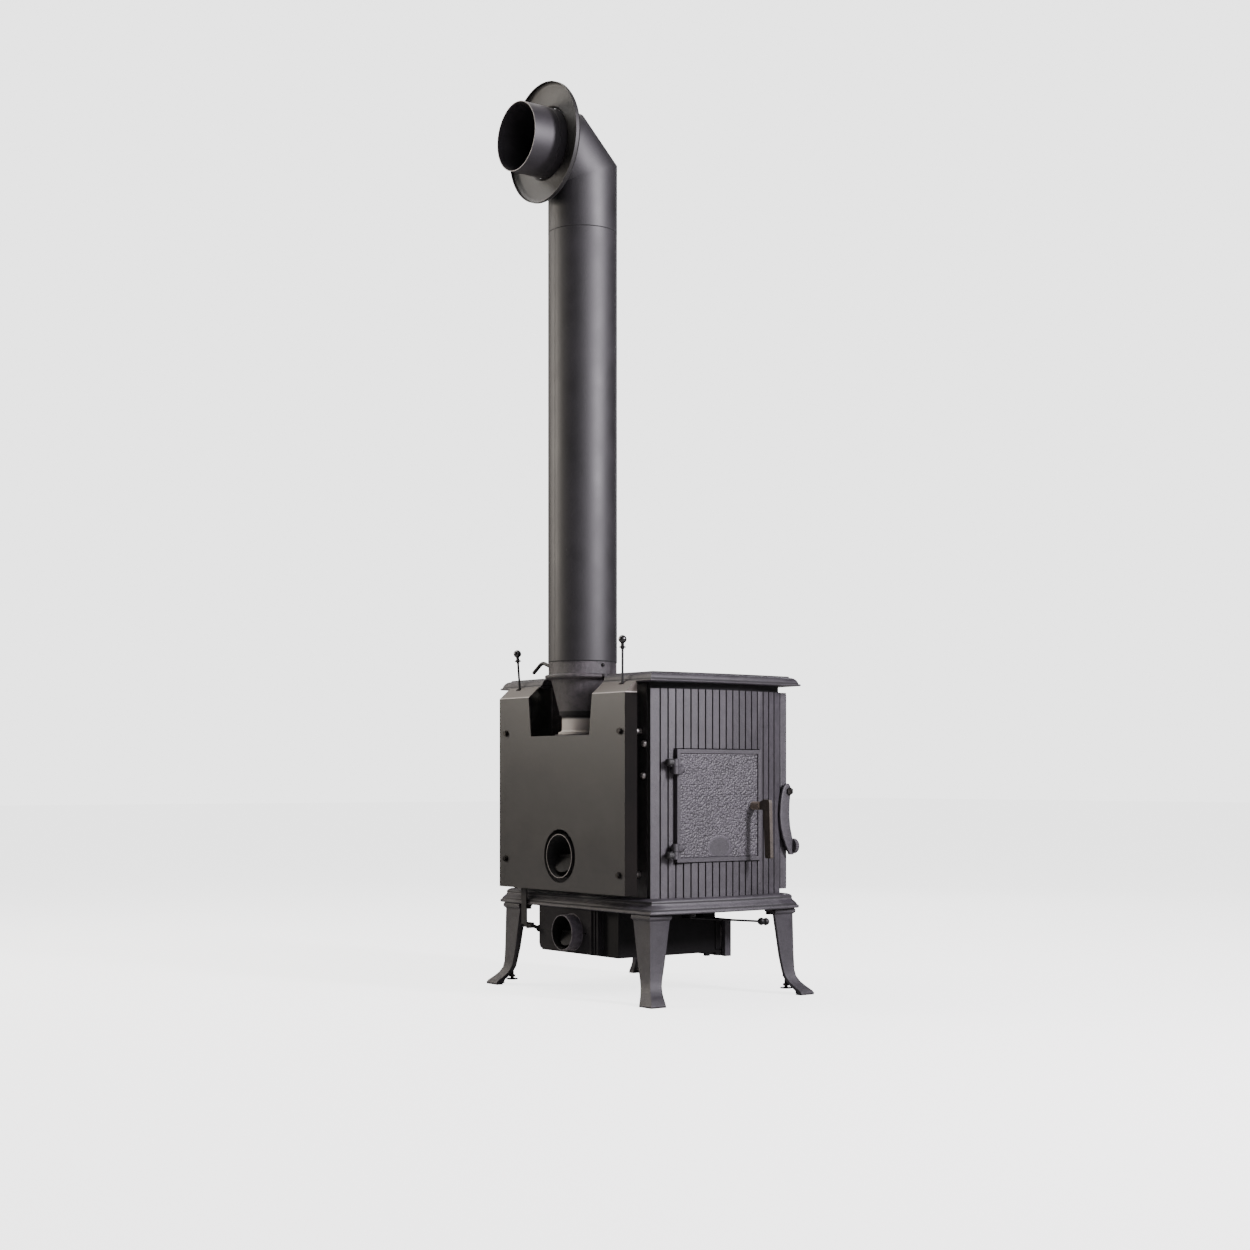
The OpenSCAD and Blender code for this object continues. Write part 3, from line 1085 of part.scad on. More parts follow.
module glass_clips() placed() color([0.35, 0.35, 0.35]) for (x = [-1, 1]) for (z = [0.2, 0.8])
    translate([x * window_w / 2, -front_door_y(), window_z + z * window_h]) mirror([x < 0 ? 1 : 0, 0, 0]) {
        translate([clip_t, 0, 0]) cube([rope_out + clip_t, clip_t, 7 * clip_t]);
        translate([clip_t, -rope_r + seat_gap, 0]) cube([2 * clip_t, rope_r + cut, 7 * clip_t]);
    }
clip_t = 2;

module latch_lever() placed() color([0.16, 0.16, 0.16]) {
    // side view of the lever: Y towards the stove, Z up, from the pivot
    translate([-latch_x - latch_t, latch_y, latch_z]) rotate([90, 0, 90]) difference() {
        linear_extrude(latch_t) polygon(concat(
            [for (a = [0 : 30 : 180]) [latch_w * 0.5 * cos(a), latch_w * 0.5 * sin(a)]],
            [for (k = lever_share) [k[0] * latch_w, -k[2] * latch_drop]],
            [for (i = [len(lever_share) - 1 : -1 : 0]) let (k = lever_share[i])
                [k[1] * latch_w, -k[2] * latch_drop]]));
        translate([0, 0, -cut]) cylinder(r = latch_spindle_r + run_gap, h = latch_t + 2 * cut, $fn = 48);
    }
    translate([-latch_x - latch_t, -knob_front_y, latch_z - latch_drop + latch_knob_r])
        rotate([-90, 0, 0]) {
            cylinder(r = latch_knob_r, h = latch_knob_r * 0.8, $fn = 64);
            cylinder(r = latch_knob_r / 2, h = knob_front_y + latch_y, $fn = 48);
        }
}
knob_front_y = front_door_y() + front_door_t + latch_knob_out();
// Rows down the lever: front and rear edge as shares of its width, share of its length
lever_share = [[-0.5, 0.55, 0.08], [-0.42, 0.78, 0.2], [-0.26, 0.92, 0.34], [-0.16, 0.95, 0.48],
    [-0.2, 0.86, 0.62], [-0.36, 0.68, 0.76], [-0.62, 0.42, 0.88], [-0.8, 0.2, 0.96], [-0.82, -0.1, 1]];

module latch_spindle() placed() color([0.4, 0.4, 0.4]) {
    reach = latch_x - latch_finger_x + latch_t / 2;
    translate([-latch_x - latch_t, latch_y, latch_z]) rotate([0, 90, 0]) {
        translate([0, 0, -latch_t / 2]) cylinder(r = 1.8 * latch_spindle_r, h = latch_t / 2, $fn = 6);
        translate([0, 0, -latch_t / 4]) cylinder(r = latch_spindle_r, h = latch_t * 1.25 + reach, $fn = 48);
    }
    translate([-latch_finger_x - latch_t / 2, latch_y - latch_spindle_r, latch_z - latch_spindle_r])
        cube([latch_t, -latch_y - body_front + wall + 2 * latch_spindle_r, 2 * latch_spindle_r]);
}

// Side door
module side_door() placed() color([0.19, 0.18, 0.19]) difference() {
    union() {
        translate([-side_door_x(), side_front_y, side_door_z])
            cube([side_door_t, side_door_w, side_door_h]);
        for (z = side_knuckle_z) translate([-side_axis_x, side_axis_y, z]) {
            cylinder(r = side_barrel_r, h = side_barrel_h, $fn = 48);
            translate([-side_barrel_r * 0.9, -2 * side_barrel_r, 0])
                cube([side_barrel_r * 1.8, 2 * side_barrel_r, side_barrel_h]);
        }
    }
    difference() {
        translate([-side_door_x() - cut, side_front_y + side_band_w, side_door_z + side_band_w])
            cube([side_field_depth + cut, side_door_w - 2 * side_band_w, side_door_h - 2 * side_band_w]);
        translate([-side_door_x() - 2 * cut, handle_y, handle_z]) rotate([0, 90, 0])
            cylinder(r = spindle_r * 1.35, h = side_door_t, $fn = 48);
        translate([-side_door_x() + side_field_depth / 2, side_door_y, side_door_z + side_door_h * 0.13])
            rotate([0, 90, 0]) linear_extrude(side_door_t) polygon([for (a = [0 : 10 : 350])
                [side_door_w * 0.088 * cos(a), side_door_w * 0.118 * sin(a)]]);
    }
    translate([-side_door_x() - cut, handle_y, handle_z]) rotate([0, 90, 0])
        cylinder(r = spindle_in_r + run_gap, h = side_door_t + 2 * cut, $fn = 48);
    for (z = side_knuckle_z) translate([-side_axis_x, side_axis_y, z - cut])
        cylinder(r = side_pin_r + run_gap, h = side_barrel_h + 2 * cut, $fn = 48);
    translate([-side_door_x() + side_door_t - rope_r, 0, 0])
        side_ring(side_rope_in, side_rope_in + 2 * (rope_r + cut), rope_r + cut);
}
spindle_in_r = spindle_r * 0.78;
side_rope_in = 4;
module side_ring(inner, outer, t) difference() {
    translate([0, side_front_y + inner, side_door_z + inner])
        cube([t, side_door_w - 2 * inner, side_door_h - 2 * inner]);
    translate([-cut, side_front_y + outer, side_door_z + outer])
        cube([t + 2 * cut, side_door_w - 2 * outer, side_door_h - 2 * outer]);
}
module side_rope() placed() color([0.3, 0.3, 0.3])
    translate([-side_door_x() + side_door_t - rope_r + seat_gap, 0, 0])
        side_ring(side_rope_in + cut, side_rope_in + cut + rope_r * 2, rope_r - seat_gap);

module handle_spindle() placed() color([0.35, 0.32, 0.28])
    translate([-side_door_x() - spindle_out, handle_y, handle_z]) {
        rotate([0, 90, 0]) cylinder(r = spindle_r, h = spindle_out - seat_gap, $fn = 48);
        rotate([0, 90, 0]) cylinder(r = spindle_in_r, h = spindle_out + side_door_t + spindle_r, $fn = 48);
        // catch finger behind the door, clear of the frame while the handle hangs
        translate([spindle_out + side_door_t + cut, -spindle_in_r, spindle_in_r - 3 * spindle_r])
            cube([spindle_r, 2 * spindle_in_r, 3 * spindle_r]);
    }

module handle_bar() placed() color([0.38, 0.32, 0.26])
    translate([-side_door_x() - spindle_out, handle_y + handle_t / 2, handle_z]) rotate([90, 0, 0])
        linear_extrude(handle_t) polygon([for (p = handle_share)
            [p[0] * handle_w, p[1] > 0 ? p[1] * spindle_r : p[1] * handle_drop]]);
// Outline of the bar: X as shares of its width, Z of the spindle's radius or of the drop
handle_share = [[-0.02, -0.08], [-0.02, 1], [-0.7, 1.55], [-1.62, 1.45], [-1.72, 0.8], [-1.95, -0.98],
    [-1.88, -1], [-1, -1], [-0.93, -0.97], [-0.6, -0.13], [-0.5, -0.08]];

// Ash door on its bottom pins, with its rope along the sides and top
module ash_door() placed() color([0.13, 0.13, 0.13]) difference() {
    union() {
        translate([-ash_door_half_w, -ash_door_y - ash_door_t, ash_door_z])
            cube([2 * ash_door_half_w, ash_door_t, ash_door_h]);
        for (x = [-1, 1]) translate([x * ash_knuckle_x - ash_lug_half, ash_axis_y, ash_axis_z]) {
            rotate([0, 90, 0]) cylinder(r = ash_lug_r, h = 2 * ash_lug_half, $fn = 32);
            translate([0, -ash_lug_r, -ash_lug_r]) cube([2 * ash_lug_half, ash_lug_r, 2 * ash_lug_r]);
        }
        translate([0, -ash_door_y - ash_door_t, ash_door_z + ash_door_h - 2 * ash_knob_r])
            rotate([90, 0, 0]) rotate_extrude($fn = 48) polygon(ash_knob_r * ash_knob_share);
    }
    for (x = [-1, 1]) translate([x * ash_lug_x - ash_lug_half - cut, -ash_door_y - ash_lug_r * 0.7, ash_door_z - cut])
        cube([2 * (ash_lug_half + cut), ash_lug_r, ash_axis_z + ash_lug_r + 3 * cut - ash_door_z]);
    translate([-ash_door_half_w - cut, ash_axis_y, ash_axis_z]) rotate([0, 90, 0])
        cylinder(r = ash_pin_r + run_gap, h = 2 * (ash_door_half_w + cut), $fn = 48);
}
ash_lug_half = ash_lug_r * 0.8;
ash_knuckle_x = ash_lug_x - 2 * ash_lug_half - seat_gap;
ash_knob_r = 10;
ash_knob_share = [[0, -0.1], [0.5, -0.1], [0.5, 0.8], [0.9, 1.1], [1, 1.6], [0.7, 2], [0, 2.1]];
module ash_rope() placed() color([0.3, 0.3, 0.3]) difference() {
    half = ash_mouth_half + ash_rope_t + cut;
    rope_y = -ash_door_y + seat_gap;
    rope_d = ash_rope_t - 2 * seat_gap;
    translate([-half, rope_y, ash_flange_z + cut])
        cube([2 * half, rope_d, ash_door_z + ash_door_h - ash_flange_z - ash_rope_t]);
    translate([-half + ash_rope_t, rope_y - cut, ash_flange_z])
        cube([2 * (half - ash_rope_t), rope_d + 2 * cut, ash_door_z + ash_door_h - ash_flange_z - 2 * ash_rope_t + cut]);
}
module ash_hinge_pin() placed() color([0.5, 0.5, 0.5]) for (x = [-1, 1])
    translate([x * (ash_lug_x + ash_knuckle_x) / 2 - 2 * ash_lug_half - cut, ash_axis_y, ash_axis_z])
        rotate([0, 90, 0]) cylinder(r = ash_pin_r, h = 4 * ash_lug_half + 2 * cut, $fn = 48);

// Air rods: knobs on thin rods, each working a flap through a fork
// Outline of a knob's neck: radius and height as shares of the ball's radius
neck_share = [[0, -2.4], [0.4, -2.4], [0.4, -2.1], [0.8, -2], [0.8, -1.8], [0.42, -1.55], [0.42, -0.9]];
module ball_knob() rotate_extrude($fn = 48) polygon(concat(ball_r * neck_share,
    [for (a = [-60 : 15 : 90]) [ball_r * cos(a), ball_r * sin(a)]]));
knob_foot = 2.4 * ball_r;
module rear_knob() placed() color([0.06, 0.06, 0.06])
    translate([-rod_slot_x, rod_y, ball_left_z]) ball_knob();
module rear_rod() placed() color([0.09, 0.09, 0.09]) {
    translate([-rod_slot_x, rod_y, rear_foot_z]) cylinder(r = rod_r, h = ball_left_z - knob_foot - rear_foot_z, $fn = 48);
    mirror([1, 0, 0]) crank_fork(rear_crank_x + crank_t + cut, rod_slot_x + rod_r, rear_foot_z);
}
module rear_flap() placed() color([0.2, 0.2, 0.2]) translate([0, rear_flap_y, spigot_z])
    mirror([1, 0, 0]) air_flap(spigot_r - spigot_wall - flap_gap, spigot_r + wall / 2, rear_crank_x);

primary_x = rod_x - strip_w * 0.75;
knob_x = rod_x + 1.5 * ball_r;
lean_top = shield_bend_z - 6 * strip_w;
module primary_knob() placed() color([0.06, 0.06, 0.06])
    translate([knob_x, rod_y, ball_right_z]) rotate([0, rod_lean, 0]) ball_knob();
module primary_rod() placed() color([0.09, 0.09, 0.09]) {
    translate([knob_x, rod_y, ball_right_z]) rotate([0, rod_lean, 0])
        translate([0, 0, -(ball_right_z - lean_top) / cos(rod_lean)])
            cylinder(r = rod_r, h = (ball_right_z - lean_top) / cos(rod_lean) - knob_foot, $fn = 48);
    translate([primary_x - strip_w / 2, rod_y - strip_t / 2, foot_z])
        cube([strip_w, strip_t, lean_top + strip_w - foot_z]);
    crank_fork(crank_x + crank_t + cut, primary_x, foot_z);
}

base_plate();
top_plate();
left_panel();
right_panel();
rear_panel();
front_frame();
leg_front_left();
leg_front_right();
leg_rear_left();
leg_rear_right();
leg_bolts();
level_front_left();
level_front_right();
level_rear_left();
level_rear_right();
flue_pocket();
flue_boot();
flue_pipe();
flue_elbow();
wall_stub();
wall_rosette();
damper_disc();
damper_rod();
heat_shield();
shield_bolts();
shield_spacers();
rear_bolts();
rear_air_spigot();
ash_box();
air_adapter();
ash_pan();
grate_plate();
riddling_grate();
riddling_rod();
lining_left();
lining_right();
lining_rear();
baffle_plate();
log_guard();
hinge_pins();
front_door();
door_glass();
glass_clips();
front_rope();
latch_lever();
latch_spindle();
side_door();
side_rope();
handle_spindle();
handle_bar();
ash_door();
ash_rope();
ash_hinge_pin();
primary_rod();
primary_knob();
primary_flap();
rear_flap();
rear_rod();
rear_knob();
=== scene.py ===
"""Looks of the cast-iron wood stove: paint, castings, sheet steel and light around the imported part."""
import json
import math

import bmesh
import bpy
import numpy as np
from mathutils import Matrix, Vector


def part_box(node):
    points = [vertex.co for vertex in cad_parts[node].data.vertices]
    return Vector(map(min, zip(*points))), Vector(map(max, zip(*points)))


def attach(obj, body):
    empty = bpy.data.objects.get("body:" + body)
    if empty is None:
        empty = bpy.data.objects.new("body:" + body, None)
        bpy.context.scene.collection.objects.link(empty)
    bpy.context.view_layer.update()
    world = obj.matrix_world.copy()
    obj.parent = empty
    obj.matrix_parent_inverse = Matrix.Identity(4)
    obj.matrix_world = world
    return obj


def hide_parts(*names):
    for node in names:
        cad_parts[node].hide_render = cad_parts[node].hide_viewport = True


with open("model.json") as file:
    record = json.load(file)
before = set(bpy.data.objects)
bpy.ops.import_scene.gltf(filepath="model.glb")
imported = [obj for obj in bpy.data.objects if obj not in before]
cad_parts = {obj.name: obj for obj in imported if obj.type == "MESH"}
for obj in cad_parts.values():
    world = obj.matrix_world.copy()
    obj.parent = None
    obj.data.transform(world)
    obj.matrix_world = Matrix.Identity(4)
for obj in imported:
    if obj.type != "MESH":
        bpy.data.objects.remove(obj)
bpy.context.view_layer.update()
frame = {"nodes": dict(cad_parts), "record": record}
MM = 0.001
# The stove's own zero, its mid width and mid depth on the floor, in the row frame
STOVE = np.array([0.013725, -0.06175, 0.0])
# The front is at -Y, and the loading door on the left at -X
LEFT, RIGHT, FRONT, REAR, UP = (-1, 0, 0), (1, 0, 0), (0, -1, 0), (0, 1, 0), (0, 0, 1)
BODY_OF = {node: body for body, nodes in frame["record"]["behaviour"]["bodies"].items() for node in nodes}
SLOT_OF = {part["node"]: part["material_slot"] for part in frame["record"]["subparts"]}

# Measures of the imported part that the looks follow, in mm from the stove's zero
PIPE_RADIUS = 77.0
PIPE_Y = 178.4
# Where the open ends of the wall stub and of the rear air spigot are
WALL_STUB_END_Y = 356.5
SPIGOT_END_Y = 243
# Heights of the axes and radii of the bores of the two air fittings
SPIGOT_Z = 309
SPIGOT_BORE = 47.4
AIR_STUB_Z = 139.5
AIR_STUB_BORE = 37.6
AIR_STUB_OUTSIDE = 41.5
# The side door's beaten field: its floor, and how far its highest peaks stand out of it
FIELD_X = -278.1
FIELD_RELIEF = 1.7
# The slatted walls are arcs of this radius about axes this far across the middle and behind it
WALL_ARC = 854.8
WALL_AXIS_X = 575.2
WALL_AXIS_Y = 6
# Heights of the coves in the rims of the base plate and the top plate
RIM_COVES = (200.9, 216.4, 691.5)
# The heat shield's side flanges begin this far from the middle, and its tabs bend at this height
FLANGE_X = 240.4
TAB_BEND_Z = 664
# The damper rod runs through the boot's collar at this height; the collar's radius sets its bends
DAMPER_ROD_Z = 730.0
COLLAR_RADIUS = 84.0


def linear(colour):
    """sRGB hex to linear light: ((c + 0.055) / 1.055) ^ 2.4, or c / 12.92 near black."""
    channels = [int(colour[i : i + 2], 16) / 255 for i in (1, 3, 5)]
    return tuple(
        c / 12.92 if c <= 0.04045 else ((c + 0.055) / 1.055) ** 2.4 for c in channels
    ) + (1.0,)


def add(tree, kind, inputs=None, **settings):
    """Adds one node, with its settings and with its inputs set to a value or linked to a socket."""
    made = tree.nodes.new(kind)
    for key, value in settings.items():
        setattr(made, key, value)
    for key, value in (inputs or {}).items():
        if isinstance(value, bpy.types.NodeSocket):
            tree.links.new(value, made.inputs[key])
        else:
            made.inputs[key].default_value = value
    return made


def ramp(tree, value, start, end, at_start=0.0, at_end=1.0):
    """A number that goes evenly from at_start to at_end while value goes from start to end."""
    limits = {"Value": value, "From Min": start, "From Max": end, "To Min": at_start, "To Max": at_end}
    return add(tree, "ShaderNodeMapRange", limits).outputs[0]


def reckon(tree, operation, *terms):
    """The result of one math node on up to three sockets or numbers."""
    return add(tree, "ShaderNodeMath", dict(enumerate(terms)), operation=operation).outputs[0]


def off_middle(tree, value, middle):
    """How far a value lies from a middle, on either side: |value - middle|."""
    return reckon(tree, "ABSOLUTE", reckon(tree, "SUBTRACT", value, middle))


def slant(tree, a, b):
    """The length of a line with the sides a and b: sqrt(a^2 + b^2)."""
    return reckon(tree, "SQRT", reckon(tree, "MULTIPLY_ADD", a, a, reckon(tree, "MULTIPLY", b, b)))


def noise(tree, place, width, detail, roughness=0.5):
    """Noise from 0 to 1 whose widest grains are width mm across; each finer layer is weaker by roughness."""
    inputs = {"Vector": place, "Scale": 1 / (width * MM), "Detail": detail, "Roughness": roughness}
    return add(tree, "ShaderNodeTexNoise", inputs).outputs["Fac"]


def blend(tree, share, under, over):
    """A colour from under, a hex code or a socket, to the hex code over, as the share goes from 0 to 1."""
    if isinstance(under, str):
        under = linear(under)
    mixed = add(tree, "ShaderNodeMix", {"Factor": share, 6: under, 7: linear(over)}, data_type="RGBA")
    return mixed.outputs[2]


def bump(tree, height, strength, relief, under=None):
    """A normal for a height of 0 to 1 that stands for relief mm, laid over another normal or over none."""
    inputs = {"Height": height, "Strength": strength, "Distance": relief * MM}
    if under is not None:
        inputs["Normal"] = under
    return add(tree, "ShaderNodeBump", inputs).outputs["Normal"]


# Camera at the photograph's viewing angle: level, with the horizon lowered by a small shift
CAMERA_PLACE = (-3.4981, 2.6344, 0.4817)
CAMERA_HEADING = (0.7998, -0.6003)
camera_data = bpy.data.cameras.new("photo_camera")
camera_data.sensor_width = 36
camera_data.lens = 55.83
camera_data.shift_y = 0.1223
camera_data.clip_end = 60
camera = bpy.data.objects.new("photo_camera", camera_data)
camera.location = CAMERA_PLACE
camera.rotation_euler = (math.radians(90), 0, math.atan2(-CAMERA_HEADING[0], CAMERA_HEADING[1]))
bpy.context.scene.collection.objects.link(camera)
bpy.context.scene.camera = camera


def lamp(name, place, aim, size, power, colour):
    """A soft rectangular studio lamp that looks from place towards aim."""
    data = bpy.data.lights.new(name, "AREA")
    data.shape = "RECTANGLE"
    data.size, data.size_y = size
    data.energy = power
    data.color = colour
    made = bpy.data.objects.new(name, data)
    made.location = place
    away = np.array(place, float) - np.array(aim, float)
    flat = math.hypot(away[0], away[1])
    made.rotation_euler = (math.atan2(flat, away[2]), 0, math.atan2(away[1], away[0]) + math.pi / 2)
    made.visible_camera = False
    bpy.context.scene.collection.objects.link(made)


# Cool key and softbox beside the loading door, and a warm key behind the flue
lamp("cool_side_key", (-3.48, -0.93, 2.3), (0, 0, 0.9), (0.45, 1.1), 360, (0.97, 0.92, 1.0))
lamp("cool_side_softbox", (-3.35, -0.5, 2.35), (0, 0, 1.0), (3.7, 2.8), 95, (0.96, 0.91, 1.0))
lamp("warm_rear_key", (2.3, 2.2, 1.7), (0, 0, 0.9), (0.9, 1.3), 98, (1.0, 0.92, 0.83))
# Fills by the lens, on the hidden front and overhead
lamp("lens_side_fill", (-2.8, 1.25, 2.6), (0, 0.2, 0.9), (0.9, 0.9), 24, (0.98, 0.95, 0.98))
lamp("front_fill", (2.4, -2.9, 1.9), (0, 0, 0.7), (1.6, 1.8), 45, (0.96, 0.96, 1.0))
lamp("top_softbox", (1.2, 0.6, 3.5), (0, 0, 0.6), (2.4, 2.4), 150, (1.0, 0.96, 0.92))

# A white room: what the lens sees is white paper, what lights the stove is its dim part
PAPER_LIGHT = 3.0
ROOM_LIGHT = 0.06
world = bpy.data.worlds.new("studio")
world.use_nodes = True
sky = world.node_tree
seen = add(sky, "ShaderNodeLightPath").outputs["Is Camera Ray"]
sky.nodes["Background"].inputs["Color"].default_value = (1, 1, 1, 1)
sky.links.new(ramp(sky, seen, 0, 1, ROOM_LIGHT, PAPER_LIGHT), sky.nodes["Background"].inputs["Strength"])
bpy.context.scene.world = world


def surface(name, colour, metallic, roughness, **sockets):
    """Starts a material: one Principled shader with constants on its own sockets."""
    made = bpy.data.materials.new(name)
    made.use_nodes = True
    tree = made.node_tree
    shader = tree.nodes["Principled BSDF"]
    shader.inputs["Base Color"].default_value = linear(colour)
    shader.inputs["Metallic"].default_value = metallic
    shader.inputs["Roughness"].default_value = roughness
    for key, value in sockets.items():
        shader.inputs[key.replace("_", " ")].default_value = value
    made.diffuse_color = linear(colour)
    place = add(tree, "ShaderNodeTexCoord").outputs["Object"]
    return made, tree, shader, place


def feed(tree, shader, **sockets):
    """Links node outputs to inputs of the shader, named with _ for each space."""
    for key, value in sockets.items():
        tree.links.new(value, shader.inputs[key.replace("_", " ")])


# Grit of the moulding sand under the paint, in mm: 0.9, drawn at 1.6 so that it shows from the camera
SAND = 1.6
# Slow swells of a cast wall, in mm
SWELL = 60


def cast_paint(name, dark, light, grit=1.0, rough=(0.46, 0.6), patchy=0.35):
    """Sand-cast iron under matt stove paint: a gritty skin over slow swells, with paler dust on the grains. The
    colour goes from dark to light with the grain, and by the share patchy with clouds 12 to 60 mm wide."""
    made, tree, shader, place = surface(name, dark, 0.0, 0.55, IOR=1.5)
    grain = noise(tree, place, SAND, 3.0, 0.62)
    fine = noise(tree, place, SAND / 2.2, 2.0)
    swell = noise(tree, place, SWELL, 3.0)
    patches = noise(tree, place, SWELL / 5, 4.0, 0.6)
    cloudy = ramp(tree, reckon(tree, "MULTIPLY", swell, patches), 0.14, 0.38)
    dusty = reckon(tree, "MULTIPLY", ramp(tree, grain, 0.38, 0.66), 1.0 - patchy)
    pale = reckon(tree, "MULTIPLY_ADD", cloudy, patchy, dusty)
    skin = bump(tree, reckon(tree, "ADD", grain, fine), 0.6 * grit, 0.6)
    feed(tree, shader, Base_Color=blend(tree, pale, dark, light), Roughness=ramp(tree, patches, 0.3, 0.7, *rough),
         Normal=bump(tree, patches, 0.22, 2.0, skin))
    return made


# Where the paint of a sheet is scuffed or its edge is rubbed, the grey steel shows
SCUFFED = "#6f6b69"


def sheet_paint(name, dark, light, rough=(0.36, 0.48), grain=1.0, scuffs=0.3, mouth=None, sheen=0.5):
    """Sheet steel under sprayed heat-proof paint: an orange-peel skin 2.5 mm wide, cloudy gloss and a few pale
    scuffs. mouth is the Y in mm of an open end whose last quarter of a millimetre is rubbed bare."""
    made, tree, shader, place = surface(name, dark, 0.0, 0.5, IOR=1.5, Specular_IOR_Level=sheen)
    cloud = noise(tree, place, 90, 4.0, 0.55)
    peel = noise(tree, place, 2.5, 2.0)
    fine = noise(tree, place, 1.1, 2.0)
    spots = noise(tree, place, 16, 5.0, 0.72)
    bare = reckon(tree, "MULTIPLY", ramp(tree, spots, 0.69, 0.76), scuffs)
    if mouth:
        along = add(tree, "ShaderNodeSeparateXYZ", {"Vector": place}).outputs["Y"]
        end = mouth * MM + STOVE[1]
        bare = reckon(tree, "MAXIMUM", bare, ramp(tree, along, end - 0.4 * MM, end - 0.1 * MM))
    painted = blend(tree, ramp(tree, cloud, 0.3, 0.72), dark, light)
    skin = bump(tree, peel, 0.12 * grain, 0.4)
    feed(tree, shader, Base_Color=blend(tree, bare, painted, SCUFFED),
         Roughness=ramp(tree, cloud, 0.25, 0.75, *rough), Normal=bump(tree, fine, 0.16 * grain, 0.3, skin))
    return made


def bare_metal(name, dark, light, rough=(0.3, 0.5), streak=(1, 1, 12)):
    """Bare worked iron or steel: metallic, with file marks squeezed by streak along each axis and patchy oxide."""
    made, tree, shader, place = surface(name, dark, 1.0, 0.4)
    turned = add(tree, "ShaderNodeMapping", {"Vector": place, "Scale": streak}).outputs[0]
    marks = noise(tree, turned, 6, 5.0, 0.65)
    patch = noise(tree, place, 14, 4.0)
    feed(tree, shader, Base_Color=blend(tree, ramp(tree, patch, 0.35, 0.68), dark, light),
         Roughness=ramp(tree, marks, 0.3, 0.7, *rough), Normal=bump(tree, marks, 0.2, 0.2))
    return made


def repainted(name, base):
    """A copy of a paint to dirty or rub in places, with its node tree, its shader and a point's X, Y and Z."""
    made = base.copy()
    made.name = name
    tree = made.node_tree
    place = add(tree, "ShaderNodeTexCoord").outputs["Object"]
    spot = add(tree, "ShaderNodeSeparateXYZ", {"Vector": place}).outputs
    return made, tree, tree.nodes["Principled BSDF"], spot


def tinted(tree, shader, share, colour):
    """Turns the shader's colour into another one by the share."""
    painted = shader.inputs["Base Color"].links[0].from_socket
    feed(tree, shader, Base_Color=blend(tree, share, painted, colour))


def dulled(tree, shader, share):
    """Makes the shader's roughness at least the share."""
    glossy = shader.inputs["Roughness"].links[0].from_socket
    feed(tree, shader, Roughness=reckon(tree, "MAXIMUM", share, glossy))


def pit_shade_paint(name, base, floor_x, depth):
    """A copy of a paint with painted shade in the hollows between the beaten peaks: near black whose share goes from
    0.8 at the field's floor, at floor_x, to 0 at three quarters of the depth further out."""
    made, tree, shader, spot = repainted(name, base)
    floor = floor_x * MM + STOVE[0]
    # Painted shade: the hollows turn near black
    tinted(tree, shader, ramp(tree, spot["X"], floor - 0.75 * depth * MM, floor, 0.0, 0.8), "#070607")
    return made


def groove_shade_paint(name, base):
    """A copy of a paint with painted shade in the slatted walls' grooves: dull black whose share grows from 0 at 0.2
    mm to 1 at 1.2 mm under the wall's arc."""
    made, tree, shader, spot = repainted(name, base)
    arm = reckon(tree, "ADD", off_middle(tree, spot["X"], STOVE[0]), WALL_AXIS_X * MM)
    back = reckon(tree, "SUBTRACT", spot["Y"], STOVE[1] + WALL_AXIS_Y * MM)
    # Painted shade: black deeper in each groove
    low = ramp(tree, slant(tree, arm, back), (WALL_ARC - 1.2) * MM, (WALL_ARC - 0.2) * MM, 1.0, 0.0)
    tinted(tree, shader, low, "#040404")
    dulled(tree, shader, low)
    return made


def shield_painted_light(name, base):
    """A copy of the shield's paint with three zones: dry overspray on its side flanges, painted light that turns its
    sloped tabs paler above their bend, and a pale painted highlight 2 mm high along their bend."""
    made, tree, shader, spot = repainted(name, base)
    side = ramp(tree, off_middle(tree, spot["X"], STOVE[0]), FLANGE_X * MM, (FLANGE_X + 0.4) * MM, 0.0, 0.95)
    dulled(tree, shader, side)
    feed(tree, shader, Specular_IOR_Level=ramp(tree, side, 0, 0.95, 0.5, 0.12))
    # Painted light: the sloped tabs turn paler above their bend
    tab_light = ramp(tree, spot["Z"], (TAB_BEND_Z - 0.5) * MM, (TAB_BEND_Z + 0.5) * MM, 0.0, 0.75)
    tinted(tree, shader, tab_light, "#5b5651")
    # Painted highlight: a pale line along the tabs' bend
    bend = ramp(tree, off_middle(tree, spot["Z"], TAB_BEND_Z * MM), 0.6 * MM, 1.4 * MM, 0.8, 0.0)
    tinted(tree, shader, bend, "#a39e99")
    return made


def cove_shade_paint(name, base, heights):
    """A copy of the castings' paint with painted shade in the coves of the plates' rims: dark within 1 mm of each
    height and gone at 2.6 mm, heights in mm."""
    made, tree, shader, spot = repainted(name, base)
    for cove in heights:
        # Painted shade within each cove
        cove_shade = ramp(tree, off_middle(tree, spot["Z"], cove * MM), 1.0 * MM, 2.6 * MM, 0.8, 0.0)
        tinted(tree, shader, cove_shade, "#050505")
        dulled(tree, shader, cove_shade)
    return made


def boot_light_and_shadow(name, base):
    """A copy of the boot's paint with painted light on its neck, a pale grey-brown under 610 mm, and a painted
    shadow under its cone, a black ring at 622 mm that is 12 mm high and fades over 4 mm more on both sides."""
    neck_light_top, ring = 610, 622
    made, tree, shader, spot = repainted(name, base)
    # Painted light on the neck, and a painted shadow under the cone
    neck_light = ramp(tree, spot["Z"], neck_light_top * MM, (neck_light_top + 5) * MM, 0.9, 0.0)
    tinted(tree, shader, neck_light, "#a09a94")
    soot_and_shade = ramp(tree, off_middle(tree, spot["Z"], ring * MM), 6 * MM, 10 * MM, 0.92, 0.0)
    tinted(tree, shader, soot_and_shade, "#040404")
    dulled(tree, shader, soot_and_shade)
    return made


